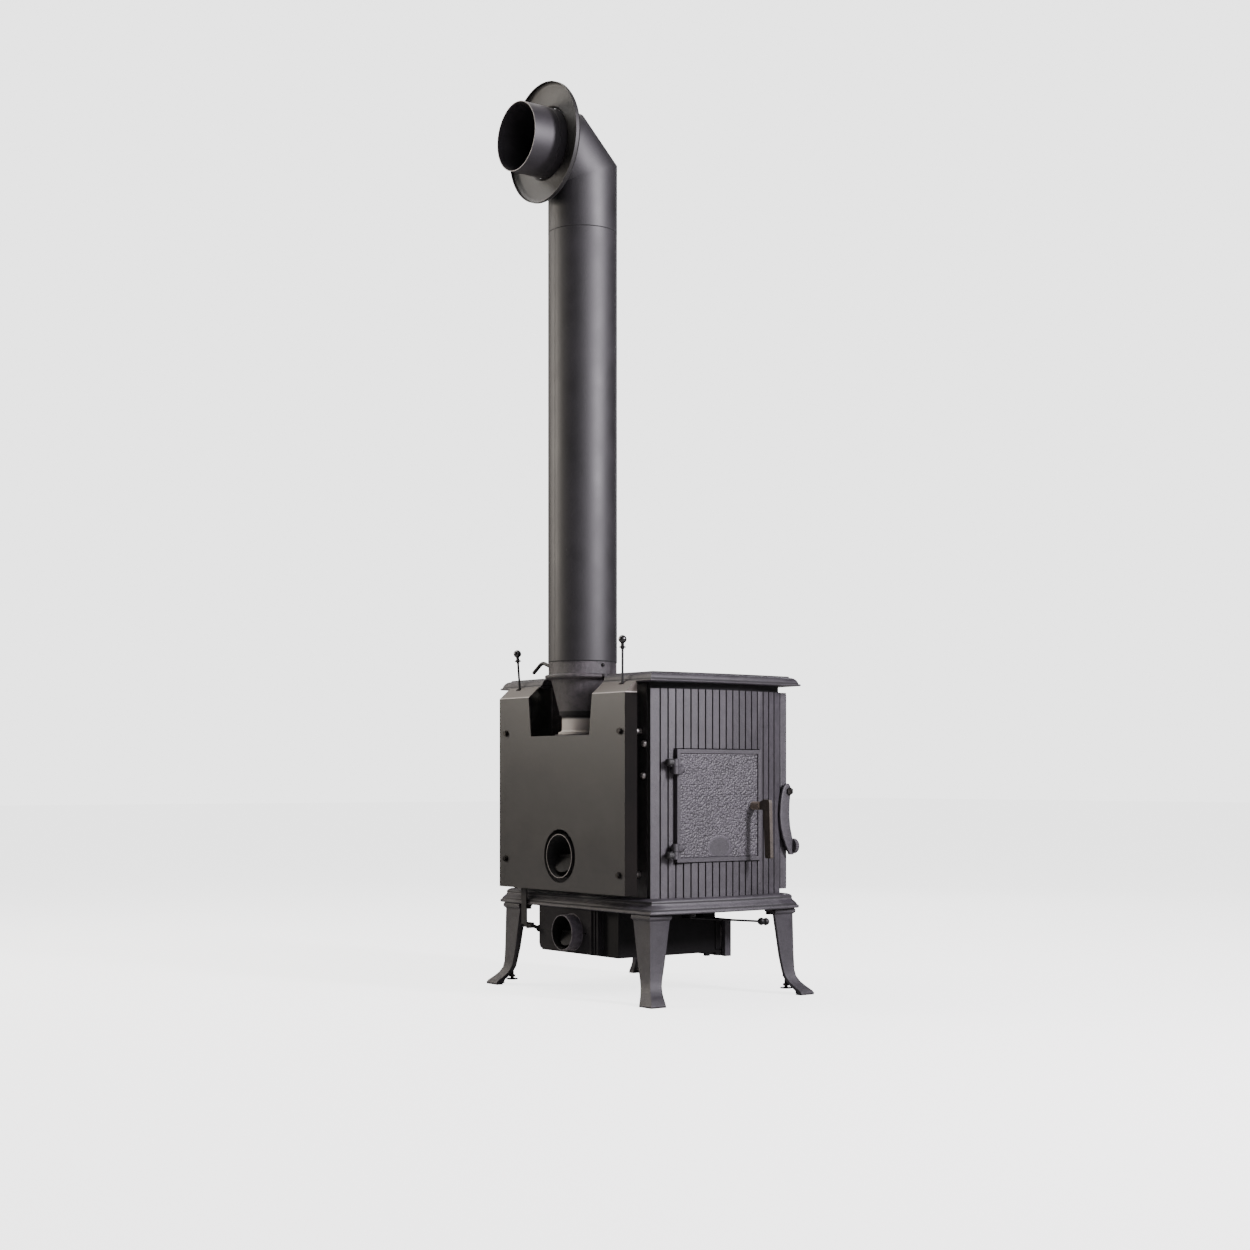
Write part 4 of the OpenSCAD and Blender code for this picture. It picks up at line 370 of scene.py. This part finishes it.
def shaded_bore(name, base, middle, radius, outside=None):
    """A copy of a pipe end's paint with painted shade inside: dull near black nearer than radius to its axis, which
    lies along Y at the height middle, both in mm. With outside, the plate past that radius is dull black too."""
    made, tree, shader, spot = repainted(name, base)
    across = reckon(tree, "SUBTRACT", spot["X"], STOVE[0])
    off = slant(tree, across, reckon(tree, "SUBTRACT", spot["Z"], middle * MM))
    # Painted shade inside the bore
    soot_and_shade = ramp(tree, off, (radius - 0.3) * MM, radius * MM, 1.0, 0.0)
    if outside:
        plate = ramp(tree, off, outside * MM, (outside + 0.5) * MM, 0.0, 0.85)
        soot_and_shade = reckon(tree, "MAXIMUM", soot_and_shade, plate)
        feed(tree, shader, Specular_IOR_Level=ramp(tree, soot_and_shade, 0, 1, 0.5, 0.2))
    tinted(tree, shader, soot_and_shade, "#030303")
    dulled(tree, shader, soot_and_shade)
    return made


# Castings in matt stove paint: dark grey with a violet cast, paler on each grain of the sand
STOVE_PAINT = cast_paint("cast_iron_matt_stove_paint", "#151316", "#373439", rough=(0.44, 0.56))
# The side door's field was beaten in the pattern; its paint is paler and a little glossier than the body's, and its
# hollows get painted shade
RUBBED = cast_paint("cast_iron_rubbed_field", "#1d1b1e", "#48444b", rough=(0.4, 0.5))
BEATEN = pit_shade_paint("cast_iron_beaten_field", RUBBED, FIELD_X, FIELD_RELIEF)
# The walls' grooves get painted shade, a dull black
GROOVED = groove_shade_paint("cast_iron_grooved_wall", STOVE_PAINT)
# The plates' rims get painted shade in their coves
RIM_PAINT = cove_shade_paint("cast_iron_moulded_rim", STOVE_PAINT, RIM_COVES)
# The legs are the same paint, a little darker
LEG_PAINT = cast_paint("cast_iron_leg_paint", "#100e11", "#2c292e", rough=(0.46, 0.58))
# The boot and niche keep the coarse skin of their sand moulds, with paler patches
NICHE_CAST = cast_paint("cast_iron_coarse_niche", "#0c0b0c", "#3d383b", grit=1.8, patchy=0.7)
# The boot's neck gets painted light, and a painted shadow rings it under its cone
BOOT_CAST = boot_light_and_shadow("cast_iron_coarse_boot", NICHE_CAST)
# Nearly black casting: the grate's and the log guard's own tone; on the rear wall behind the shield partly its own
# tone and partly painted shade, and on the wall's hinge lugs painted shade
BLACK_CAST = cast_paint("cast_iron_near_black", "#060606", "#121111", grit=1.2)
# Rolled stove pipe in smooth sprayed paint, with the sheen of a 2 mm sheet
PIPE_PAINT = sheet_paint("stove_pipe_sprayed_steel", "#0e0d0f", "#19171a", rough=(0.5, 0.6))
# The pipe end past the wall is the same sheet, a little paler, partly dust and partly painted light, with its cut
# edge rubbed bare
STUB_PAINT = sheet_paint("stove_pipe_cut_end", "#151316", "#221f23", rough=(0.5, 0.6), mouth=WALL_STUB_END_Y)
# The wall rosette and the heat shield: pressed or folded 1.5 mm sheet in flat grey-brown paint
ROSETTE_PAINT = sheet_paint("rosette_flat_paint", "#0b0a09", "#100e0d", rough=(0.52, 0.6), grain=1.3)
SHIELD_SHEET = sheet_paint("heat_shield_sheet", "#0d0c0b", "#13110f", rough=(0.4, 0.47), grain=1.3)
# The shield's tabs get painted light above their bend, and the bend a painted highlight
SHIELD_PAINT = shield_painted_light("heat_shield_flat_paint", SHIELD_SHEET)
# The welded box under the base in plain dull black
BOX_PAINT = sheet_paint("ash_box_black_steel", "#040404", "#080707", rough=(0.72, 0.85), grain=1.4, sheen=0.2)
# The rear air spigot is black sheet, its end rubbed bare by the hose, with painted shade inside it
SPIGOT_SHEET = sheet_paint("air_spigot_black_steel", "#0c0b0c", "#141314", rough=(0.4, 0.5), grain=1.4,
                           mouth=SPIGOT_END_Y)
SPIGOT_PAINT = shaded_bore("air_spigot_shaded_bore", SPIGOT_SHEET, SPIGOT_Z, SPIGOT_BORE)
# The air adapter's stub is paler, partly its own greyer tone and partly painted light on its side; painted shade
# fills its inside, and the plate round it stays dull black
AIR_STUB_CAST = cast_paint("air_stub_cast_iron", "#1b181c", "#4b464d", grit=1.2, rough=(0.44, 0.56))
ADAPTER_CAST = shaded_bore("air_adapter_cast_iron", AIR_STUB_CAST, AIR_STUB_Z, AIR_STUB_BORE, AIR_STUB_OUTSIDE)
# The flaps inside the air fittings are dull with soot
SOOT = cast_paint("sooted_flap_steel", "#030303", "#080807", rough=(0.85, 0.95))
# Bolts, pins and clips with a black oxide skin, worn grey in patches
BOLT_STEEL = bare_metal("black_oxide_bolt_steel", "#171616", "#3b3937", rough=(0.35, 0.55))
# The handle bar and its spindle are browned iron, the spindle rubbed paler
HANDLE_IRON = cast_paint("handle_browned_iron", "#231f1b", "#40382f", grit=0.5, rough=(0.42, 0.55))
SPINDLE_IRON = cast_paint("spindle_browned_iron", "#4a423b", "#7a6e63", grit=0.4, rough=(0.4, 0.5))
# Machine screws and spacers behind the shield, zinc grey
ZINC = bare_metal("zinc_plated_screw_steel", "#6c6967", "#94918e", rough=(0.35, 0.5))
# Drawn rods, painted black
ROD_STEEL = sheet_paint("black_painted_rod", "#060606", "#0a0a0a", rough=(0.5, 0.6), scuffs=0.0, sheen=0.3)


def plain_knob():
    """Moulded heat-proof resin: black, glossy, with a faint orange peel 3 mm wide."""
    made, tree, shader, place = surface("moulded_black_bakelite", "#0b0b0c", 0.0, 0.22, IOR=1.55)
    peel = noise(tree, place, 3, 2.0)
    feed(tree, shader, Roughness=ramp(tree, peel, 0, 1, 0.17, 0.3), Normal=bump(tree, peel, 0.08, 0.2))
    return made


def fire_board():
    """Pressed vermiculite: sand-coloured flakes 3 mm across, from brown to golden, with small pits."""
    made, tree, shader, place = surface("pressed_vermiculite_board", "#b3a07f", 0.0, 0.9)
    chips = add(tree, "ShaderNodeTexVoronoi", {"Vector": place, "Scale": 1 / (3.2 * MM)})
    flakes = add(tree, "ShaderNodeValToRGB", {"Fac": chips.outputs["Color"]})
    flakes.color_ramp.elements[0].color = linear("#8d7b5f")
    flakes.color_ramp.elements[1].color = linear("#c9b793")
    smoke = noise(tree, place, 80, 4.0)
    soot_and_shade = reckon(tree, "MULTIPLY", ramp(tree, smoke, 0.45, 0.75), 0.4)
    feed(tree, shader, Base_Color=blend(tree, soot_and_shade, flakes.outputs["Color"], "#5a5148"),
         Normal=bump(tree, chips.outputs["Distance"], 0.5, 0.8))
    return made


def stove_glass():
    """Ceramic glass: clear with a slight amber body, and dulled by faint patches of haze."""
    made, tree, shader, place = surface("ceramic_stove_glass", "#d9cdbb", 0.0, 0.06, IOR=1.54,
                                        Transmission_Weight=0.92)
    haze = noise(tree, place, 70, 4.0)
    feed(tree, shader, Roughness=ramp(tree, haze, 0.4, 0.8, 0.03, 0.2))
    return made


def rope_yarn():
    """Knitted glass-fibre rope: grey yarn, soft, its tone changing from fibre to fibre."""
    made, tree, shader, place = surface("knitted_glass_rope", "#4a4947", 0.0, 0.95, Sheen_Weight=0.25)
    yarn = noise(tree, place, 0.9, 3.0)
    feed(tree, shader, Base_Color=blend(tree, ramp(tree, yarn, 0.35, 0.65), "#383735", "#6e6c68"),
         Normal=bump(tree, yarn, 0.6, 0.4))
    return made


KNOB = plain_knob()
BOARD = fire_board()
GLASS = stove_glass()
YARN = rope_yarn()
# The ash pan's zinc is mottled alike all over, so its marks aren't drawn out
PAN_STEEL = bare_metal("galvanised_ash_pan", "#5e5d5b", "#7d7c79", rough=(0.35, 0.55), streak=(1, 1, 1))
# The dark gap between two pipe lengths
JOINT_GAP = surface("open_pipe_joint", "#040404", 0.0, 0.9)[0]


def shown(mesh, material, smooth_deg):
    """An object of a mesh, in one material and smooth up to an angle between its faces."""
    mesh.polygons.foreach_set("use_smooth", np.ones(len(mesh.polygons), bool))
    mesh.set_sharp_from_angle(angle=math.radians(smooth_deg))
    mesh.materials.clear()
    mesh.materials.append(material)
    made = bpy.data.objects.new(mesh.name, mesh)
    bpy.context.scene.collection.objects.link(made)
    return made


# An edge is rounded where its two faces meet at more than this many degrees
EDGE_ANGLE = 32


def softened(node, material, edge, segments=2):
    """A CAD node's own shape, merged, with its edges rounded by a small radius as casting or folding does."""
    shape = bmesh.new()
    shape.from_mesh(frame["nodes"][node].data)
    bmesh.ops.remove_doubles(shape, verts=shape.verts, dist=2e-6)
    bmesh.ops.dissolve_limit(shape, angle_limit=math.radians(0.6), verts=shape.verts, edges=shape.edges)
    mesh = bpy.data.meshes.new(node + "_finished")
    shape.to_mesh(mesh)
    shape.free()
    made = shown(mesh, material, EDGE_ANGLE)
    if edge:
        bevel = made.modifiers.new("rounded_edges", "BEVEL")
        bevel.width = edge * MM
        bevel.segments = segments
        bevel.limit_method = "ANGLE"
        bevel.angle_limit = math.radians(EDGE_ANGLE)
        bevel.harden_normals = True
    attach(made, BODY_OF[node])
    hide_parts(node)


softened("base_plate", RIM_PAINT, 0)
softened("top_plate", RIM_PAINT, 0)
CORNERS = ("front_left", "front_right", "rear_left", "rear_right")
for corner_name in CORNERS:
    softened("leg_" + corner_name, LEG_PAINT, 1.2)
for node_name, edge_mm in (("front_frame", 1), ("front_door", 1.2), ("side_door", 0.9), ("ash_door", 1)):
    softened(node_name, STOVE_PAINT, edge_mm)
softened("left_panel", GROOVED, 1.3)
softened("right_panel", GROOVED, 1.3)
softened("flue_pocket", NICHE_CAST, 1.2)
softened("flue_boot", BOOT_CAST, 1.5)
for node_name in ("rear_panel", "grate_plate", "riddling_grate", "log_guard"):
    softened(node_name, BLACK_CAST, 0.8)
softened("air_adapter", ADAPTER_CAST, 0.8)
for node_name in ("flue_pipe", "flue_elbow", "damper_disc"):
    softened(node_name, PIPE_PAINT, 0.3)
softened("wall_stub", STUB_PAINT, 0.3)
softened("heat_shield", SHIELD_PAINT, 0.5)
softened("wall_rosette", ROSETTE_PAINT, 0.4)
softened("ash_box", BOX_PAINT, 0.4)
softened("primary_flap", SOOT, 0.4)
softened("rear_flap", SOOT, 0.4)
softened("rear_air_spigot", SPIGOT_PAINT, 0.3)
for node_name in ("primary_rod", "rear_rod", "riddling_rod"):
    softened(node_name, ROD_STEEL, 0.3)
levellers = ["level_" + corner_name for corner_name in CORNERS]
for node_name in ("leg_bolts", *levellers, "shield_bolts", "hinge_pins", "glass_clips", "latch_spindle",
                  "ash_hinge_pin"):
    softened(node_name, BOLT_STEEL, 0.4)
softened("shield_spacers", ZINC, 0.3)
softened("rear_bolts", ZINC, 0.3)
softened("handle_spindle", SPINDLE_IRON, 0.8)
softened("handle_bar", HANDLE_IRON, 1.2, segments=3)
softened("primary_knob", KNOB, 0.2)
softened("rear_knob", KNOB, 0.2)
softened("ash_pan", PAN_STEEL, 0.5)
for node_name in ("lining_left", "lining_right", "lining_rear", "baffle_plate"):
    softened(node_name, BOARD, 1.5)
# The glass keeps its own shape
door_glass = frame["nodes"]["door_glass"].data
door_glass.materials.clear()
door_glass.materials.append(GLASS)


def spread(x, y, z):
    """One array of points from arrays of X, Y and Z that can be spread over the same grid."""
    return np.stack(np.broadcast_arrays(x, y, z), -1)


def full_turn(count):
    """The angles of count points spread evenly round a circle, in radians."""
    return np.arange(count) * 2 * math.pi / count


def stove_box(node):
    """The lowest and the highest corner of a CAD node, in mm from the stove's zero."""
    return [(np.array(corner, float) - STOVE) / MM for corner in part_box(node)]


def finished_mesh(name, points, faces, material, node, smooth_deg):
    """A mesh of points, in mm from the stove's zero, and faces that rides on a node's body."""
    body, slot = BODY_OF[node], SLOT_OF[node]
    mesh = bpy.data.meshes.new(name)
    places = (points * MM + STOVE).reshape(-1, 3)
    mesh.from_pydata(places.tolist(), [], [tuple(map(int, face)) for face in faces])
    made = shown(mesh, material, smooth_deg)
    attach(made, body)
    return made


def grid_faces(rows, columns, close_rows=False, close_columns=True):
    """Quads of a grid of rows x columns points; either direction can close on itself."""
    row = np.arange(rows if close_rows else rows - 1)
    column = np.arange(columns if close_columns else columns - 1)
    row, column = np.meshgrid(row, column, indexing="ij")
    here, ahead = row * columns, ((row + 1) % rows) * columns
    beside = (column + 1) % columns
    return np.stack([here + column, here + beside, ahead + beside, ahead + column], -1).reshape(-1, 4)


def tube(name, points, material, node, smooth_deg, joined=False):
    """A tube through rows of points that each go round it once. Its ends have a face each, or are joined."""
    rows, columns = points.shape[:2]
    faces = grid_faces(rows, columns, close_rows=joined).tolist()
    if not joined:
        faces += [range(columns - 1, -1, -1), range((rows - 1) * columns, rows * columns)]
    made = finished_mesh(name, points, faces, material, node, smooth_deg)
    outward = bmesh.new()
    outward.from_mesh(made.data)
    bmesh.ops.recalc_face_normals(outward, faces=outward.faces)
    outward.to_mesh(made.data)
    outward.free()
    return made


def beaten_field():
    """The side door's beaten field on a 0.9 mm grid. Each pebble is a dome 1 - (d / 3.2)^2 round the nearest point
    of a lattice 4.4 mm wide whose points are each moved by up to 1.9 mm, its peak 0.5 to 1 of the relief. In the
    bare oval and round the handle's boss the field is level, 1.3 mm up, and it runs down to its floor at the rim."""
    near, far, foot, head = -95, 123, 310, 534
    y, z = np.linspace(near, far, 243), np.linspace(foot, head, 250)
    grid_y, grid_z = np.meshgrid(y, z, indexing="ij")
    random = np.random.default_rng(11)
    lattice, start_y, start_z = 4.4, -110, 295
    cell_y = ((grid_y - start_y) / lattice).astype(int)
    cell_z = ((grid_z - start_z) / lattice).astype(int)
    moved = random.uniform(-1.9, 1.9, (60, 60, 2))
    peaks = random.uniform(0.5, 1.0, (60, 60))
    relief = np.zeros_like(grid_y)
    for row in (-1, 0, 1):
        for column in (-1, 0, 1):
            i, j = cell_y + row, cell_z + column
            centre_y = (i + 0.5) * lattice + start_y + moved[i, j, 0]
            centre_z = (j + 0.5) * lattice + start_z + moved[i, j, 1]
            away = np.hypot(grid_y - centre_y, grid_z - centre_z)
            relief = np.maximum(relief, peaks[i, j] * np.clip(1 - (away / 3.2) ** 2, 0, 1))
    oval_y, oval_z, oval_wide, oval_high = 14, 332.5, 31.5, 24
    boss_y, boss_z, boss_radius = -80, 421, 14
    oval = np.hypot((grid_y - oval_y) / oval_wide, (grid_z - oval_z) / oval_high)
    boss = np.hypot(grid_y - boss_y, grid_z - boss_z) / boss_radius
    rim = np.minimum(np.minimum(grid_y - near, far - grid_y), np.minimum(grid_z - foot, head - grid_z)) / 2
    share = np.clip(np.minimum(np.minimum((oval - 1) * 12, (boss - 1) * 8), rim), 0, 1)
    clear = 0.02  # mm over the CAD door's own face
    x = FIELD_X - clear - FIELD_RELIEF * relief * share - 1.3 * (1 - share) * (rim > 1)
    faces = grid_faces(len(y), len(z), close_columns=False)[:, ::-1]
    finished_mesh("side_door_beaten_field", spread(x, grid_y, grid_z), faces, BEATEN, "side_door", 80)


def knitted_rope(node, route, closed, broad, deep, facing):
    """Knitted rope along a route of corner points in mm. The section is an ellipse broad by deep times
    (1 + 0.13 |sin(4 angle + turn) sin(4 angle - turn)|) / 1.13, where turn grows by 2 pi about every 9 mm of
    length, so two sets of stitches cross. Corners are rounded by averaging the route over 16 mm."""
    step, stitch, bulge, rounding = 1.5, 9, 0.13, 8
    route = np.asarray(route, float)
    ends = np.vstack([route, route[:1]]) if closed else route
    sides = np.linalg.norm(np.diff(ends, axis=0), axis=1)
    length = sides.sum()
    count = int(length / step)
    along = np.linspace(0, length, count, endpoint=not closed)
    travelled = np.concatenate([[0], np.cumsum(sides)])
    smooth = np.zeros((count, 3))
    shifts = np.linspace(-rounding, rounding, 9)
    for shift in shifts:
        spot = (along + shift) % length if closed else np.clip(along + shift, 0, length)
        placed = [np.interp(spot, travelled, ends[:, axis]) for axis in range(3)]
        smooth += np.stack(placed, -1) / len(shifts)
    if closed:
        heading = np.roll(smooth, -1, 0) - np.roll(smooth, 1, 0)
    else:
        heading = np.gradient(smooth, axis=0)
    heading /= np.linalg.norm(heading, axis=1, keepdims=True)
    facing = np.asarray(facing, float)
    side = np.cross(heading, facing)
    angle = full_turn(20)
    turn = 2 * math.pi * along / (length / round(length / stitch))
    crossed = np.abs(np.sin(4 * angle + turn[:, None]) * np.sin(4 * angle - turn[:, None]))
    swell = (1 + bulge * crossed) / (1 + bulge)
    points = (smooth[:, None] + side[:, None] * (broad * np.cos(angle) * swell)[..., None]
              + facing * (deep * np.sin(angle) * swell)[..., None])
    made = tube(node + "_knit", points, YARN, node, 80, joined=closed)
    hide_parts(node)


def ring_route(node, along, inset):
    """The corners of an upright ring's middle line, inset mm inside its box, and half its depth. along is the
    number of the level axis that the ring lies along, 0 for X or 1 for Y."""
    low, high = stove_box(node)
    corners = []
    for far, over in ((0, 0), (1, 0), (1, 1), (0, 1)):
        corner = (low + high) / 2
        corner[along] = high[along] - inset if far else low[along] + inset
        corner[2] = high[2] - inset if over else low[2] + inset
        corners.append(corner)
    return corners, (high - low)[1 - along] / 2


# Half the width of the two doors' ropes, in mm
ROPE_HALF = 4
for node_name, level_axis, facing_axis in (("side_rope", 1, LEFT), ("front_rope", 0, FRONT)):
    rope_route, rope_deep = ring_route(node_name, level_axis, ROPE_HALF)
    knitted_rope(node_name, rope_route, True, ROPE_HALF, rope_deep, facing_axis)
# The ash door's rope is an arch with its two ends down
ash_low, ash_high = stove_box("ash_rope")
ash_half = (ash_high[1] - ash_low[1]) / 2
ash_y = (ash_high[1] + ash_low[1]) / 2
ash_left = ash_low[0] + ash_half
ash_right = ash_high[0] - ash_half
ash_top = ash_high[2] - ash_half
knitted_rope("ash_rope", [(ash_left, ash_y, ash_low[2]), (ash_left, ash_y, ash_top), (ash_right, ash_y, ash_top),
                          (ash_right, ash_y, ash_low[2])], False, ash_half, ash_half, FRONT)
beaten_field()


def pipe_seam():
    """The pipe's long weld at its rear: a ridge 3.2 mm wide and 0.32 mm high, raised cosine across, waved by its
    stitches every 6 mm, from 1 mm over the pipe's foot to 12 mm under its head."""
    half_width, high, sunk = 1.6, 0.32, 0.02
    foot, head = (corner[2] for corner in stove_box("flue_pipe"))
    z = np.arange(foot + 1, head - 12, 2.0)
    across = np.linspace(-1, 1, 9)
    stitches = 1 + 0.25 * np.sin(2 * math.pi * z / 6)
    ridge = high * (0.5 + 0.5 * np.cos(math.pi * across))[None, :] * stitches[:, None]
    angle = math.radians(91.5) + across[None, :] * half_width / PIPE_RADIUS
    radius = PIPE_RADIUS - sunk + ridge
    points = spread(radius * np.cos(angle), PIPE_Y + radius * np.sin(angle), z[:, None])
    faces = grid_faces(len(z), len(across), close_columns=False)
    finished_mesh("pipe_long_weld", points, faces, PIPE_PAINT, "flue_pipe", 80)


pipe_seam()
# Half the height of an open joint between two pipe lengths, in mm
JOINT_HALF = 1.1


def joint_line(name, node, height):
    """The open joint between two pipe lengths: a ring that stands 0.12 mm proud, its section a half sine."""
    angle = full_turn(128)
    z = np.linspace(-JOINT_HALF, JOINT_HALF, 7)
    radius = (PIPE_RADIUS + 0.12 * np.cos(z / JOINT_HALF * math.pi / 2))[:, None]
    points = spread(radius * np.cos(angle), PIPE_Y + radius * np.sin(angle), height + z[:, None])
    finished_mesh(name, points, grid_faces(len(z), len(angle)), JOINT_GAP, node, 80)


joint_line("pipe_elbow_joint", "flue_elbow", stove_box("flue_elbow")[0][2])
joint_line("pipe_foot_joint", "flue_pipe", stove_box("flue_pipe")[0][2] + JOINT_HALF)


def bent_bar(node, route, radius, bend, material):
    """A round bar bent by hand, in mm: each corner of the route becomes a quadratic curve that begins and ends
    bend mm away from it, the section is a circle, and the two ends are domed by a quarter circle."""
    route = np.asarray(route, float)
    share = np.linspace(0, 1, 9)[:, None]
    line = [route[0]]
    for before, corner, after in zip(route, route[1:], route[2:]):
        back, ahead = before - corner, after - corner
        start = corner + back / np.linalg.norm(back) * bend
        end = corner + ahead / np.linalg.norm(ahead) * bend
        line.extend((1 - share) ** 2 * start + 2 * share * (1 - share) * corner + share**2 * end)
    line.append(route[-1])
    line = np.array(line)
    heading = np.gradient(line, axis=0)
    heading /= np.linalg.norm(heading, axis=1, keepdims=True)
    side = np.asarray(REAR, float)
    other = np.cross(heading, side)
    quarter = np.linspace(0.05, math.pi / 2, 6)
    dome, step = np.sin(quarter), np.cos(quarter)
    centres = np.vstack([line[0] + heading[0] * radius * (1 - step[:, None]), line[1:-1],
                         line[-1] - heading[-1] * radius * (1 - step[::-1, None])])
    wide = np.concatenate([dome, np.ones(len(line) - 2), dome[::-1]])
    sides = np.vstack([np.repeat(other[:1], len(dome), 0), other[1:-1], np.repeat(other[-1:], len(dome), 0)])
    angle = full_turn(20)
    points = centres[:, None] + radius * wide[:, None, None] * (
        np.cos(angle)[None, :, None] * side + np.sin(angle)[None, :, None] * sides[:, None])
    made = tube(node + "_bent", points, material, node, 50)
    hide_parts(node)


def swept(name, rows, node, material, squareness):
    """A body swept through rows of (centre, half size a, half size b, axis of a, axis of b), in mm. Each section
    is the superellipse |u / a|^n + |v / b|^n = 1 with n = squareness; the two end rows close it."""
    angle = full_turn(32)
    u = np.sign(np.cos(angle)) * np.abs(np.cos(angle)) ** (2 / squareness)
    v = np.sign(np.sin(angle)) * np.abs(np.sin(angle)) ** (2 / squareness)
    points = []
    for centre, a, b, axis_a, axis_b in rows:
        points.append(np.asarray(centre, float) + a * u[:, None] * np.asarray(axis_a, float)
                      + b * v[:, None] * np.asarray(axis_b, float))
    return tube(name, np.array(points), material, node, 40)


def front_lever():
    """The front latch's cast lever and its ribbed knob. Stations down the lever give its height and its front and
    rear edge in mm. Between two of them the edges follow t + 0.35 (t^2 (3 - 2 t) - t). The knob is a disc of
    radius 17 (1 - 0.05 |sin 12 a|) mm and 10 mm length with its edges drawn in."""
    lever_x, half_thick, knob_z = -266, 4, 329.5
    stations = np.array([
        [469.2, -193.5, -190.0], [467.5, -197.0, -186.5], [464.0, -199.9, -182.5], [457.0, -202.0, -178.5],
        [448.0, -201.8, -175.6], [440.0, -200.0, -173.4], [423.0, -198.4, -170.8], [398.0, -197.8, -169.4],
        [374.0, -200.0, -171.8], [351.0, -205.6, -178.0], [336.0, -209.4, -184.2], [324.0, -210.2, -190.2],
        [313.0, -210.2, -196.8], [310.4, -209.6, -199.0]])
    rows = []
    for start, end in zip(stations, stations[1:]):
        for t in (0, 0.25, 0.5, 0.75):
            z = start[0] + t * (end[0] - start[0])
            ease = t + 0.35 * (t * t * (3 - 2 * t) - t)
            front, rear = start[1:] + ease * (end[1:] - start[1:])
            rows.append(((lever_x, (front + rear) / 2, z), half_thick, (rear - front) / 2, RIGHT, REAR))
    rows.append(((lever_x, -204.1, 310.2), 3.4, 4, RIGHT, REAR))
    lever = swept("latch_lever_cast", rows, "latch_lever", STOVE_PAINT, 5)
    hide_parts("latch_lever")
    angle = full_turn(96)
    ribbed = 1 - 0.05 * np.abs(np.sin(12 * angle))
    y = np.array([-206.0, -206.0, -207.2, -214.8, -216.0, -216.0])[:, None]
    radius = np.array([15.2, 15.8, 17.0, 17.0, 15.8, 11.0])[:, None]
    knob = spread(lever_x + radius * ribbed * np.cos(angle), y, knob_z + radius * ribbed * np.sin(angle))
    tube("latch_knob_ribbed", knob, STOVE_PAINT, "latch_lever", 40)


front_lever()


def hinge_strap(name, node, near, far, foot, head, face, proud, paint):
    """A hinge's cast strap or lug between two Y and two Z in mm: a superellipse across that stands proud of the
    face. From either end it swells as sqrt(1 - (1 - t)^2), t reaching 1 at 0.8 of half its height."""
    half = (head - foot) / 2
    rows = []
    for share in np.linspace(-1, 1, 25):
        y = (near + far) / 2 + share * (far - near) / 2
        t = min(min(y - near, far - y) / (0.8 * half), 1)
        full = math.sqrt(max(1 - (1 - t) ** 2, 0.02))
        rows.append(((face, y, (foot + head) / 2), proud * full, half * (0.55 + 0.45 * full), LEFT, UP))
    swept(name, rows, node, paint, 2.6)


# The straps lie over the door's knuckles, and the lugs over those of the wall
for place_name, knuckle in (("upper", 491.0), ("lower", 325.0)):
    hinge_strap("side_door_strap_" + place_name, "side_door", 114.3, 147, knuckle + 0.4, knuckle + 15.6,
                -281.2, 9.4, STOVE_PAINT)
# The wall's lugs are near black: painted shade beside the door's straps
for place_name, knuckle in (("upper", 507.2), ("lower", 309.2)):
    hinge_strap("side_wall_lug_" + place_name, "left_panel", 134.5, 160.5, knuckle + 0.2, knuckle + 15.2,
                -279.5, 9.0, BLACK_CAST)

# Damper rod: straight through the boot's collar, then up and over to a hand's grip
damper_route = [(-0.96 * COLLAR_RADIUS, PIPE_Y, DAMPER_ROD_Z), (1.3 * COLLAR_RADIUS, PIPE_Y, DAMPER_ROD_Z),
                (1.88 * COLLAR_RADIUS, PIPE_Y, DAMPER_ROD_Z + 0.19 * COLLAR_RADIUS),
                (2.33 * COLLAR_RADIUS, PIPE_Y, DAMPER_ROD_Z - 0.095 * COLLAR_RADIUS)]
bent_bar("damper_rod", damper_route, 4.3, 11, ROD_STEEL)

# Plain pale floor, 60 m wide, which the lens sees as the same white paper as the room
FLOOR_HALF = 30
FLOOR_LIGHT = 2.75
floor_mesh = bpy.data.meshes.new("studio_floor")
floor_mesh.from_pydata([(-FLOOR_HALF, -FLOOR_HALF, 0), (FLOOR_HALF, -FLOOR_HALF, 0),
                        (FLOOR_HALF, FLOOR_HALF, 0), (-FLOOR_HALF, FLOOR_HALF, 0)], [], [(0, 1, 2, 3)])
floor_paint, floor_tree, floor_shader = surface("pale_matt_floor", "#a3a2a1", 0.0, 0.85)[:3]
floor_seen = add(floor_tree, "ShaderNodeLightPath").outputs["Is Camera Ray"]
floor_shader.inputs["Emission Color"].default_value = (1, 1, 1, 1)
feed(floor_tree, floor_shader, Emission_Strength=reckon(floor_tree, "MULTIPLY", floor_seen, FLOOR_LIGHT))
floor_mesh.materials.append(floor_paint)
floor = bpy.data.objects.new("studio_floor", floor_mesh)
bpy.context.scene.collection.objects.link(floor)
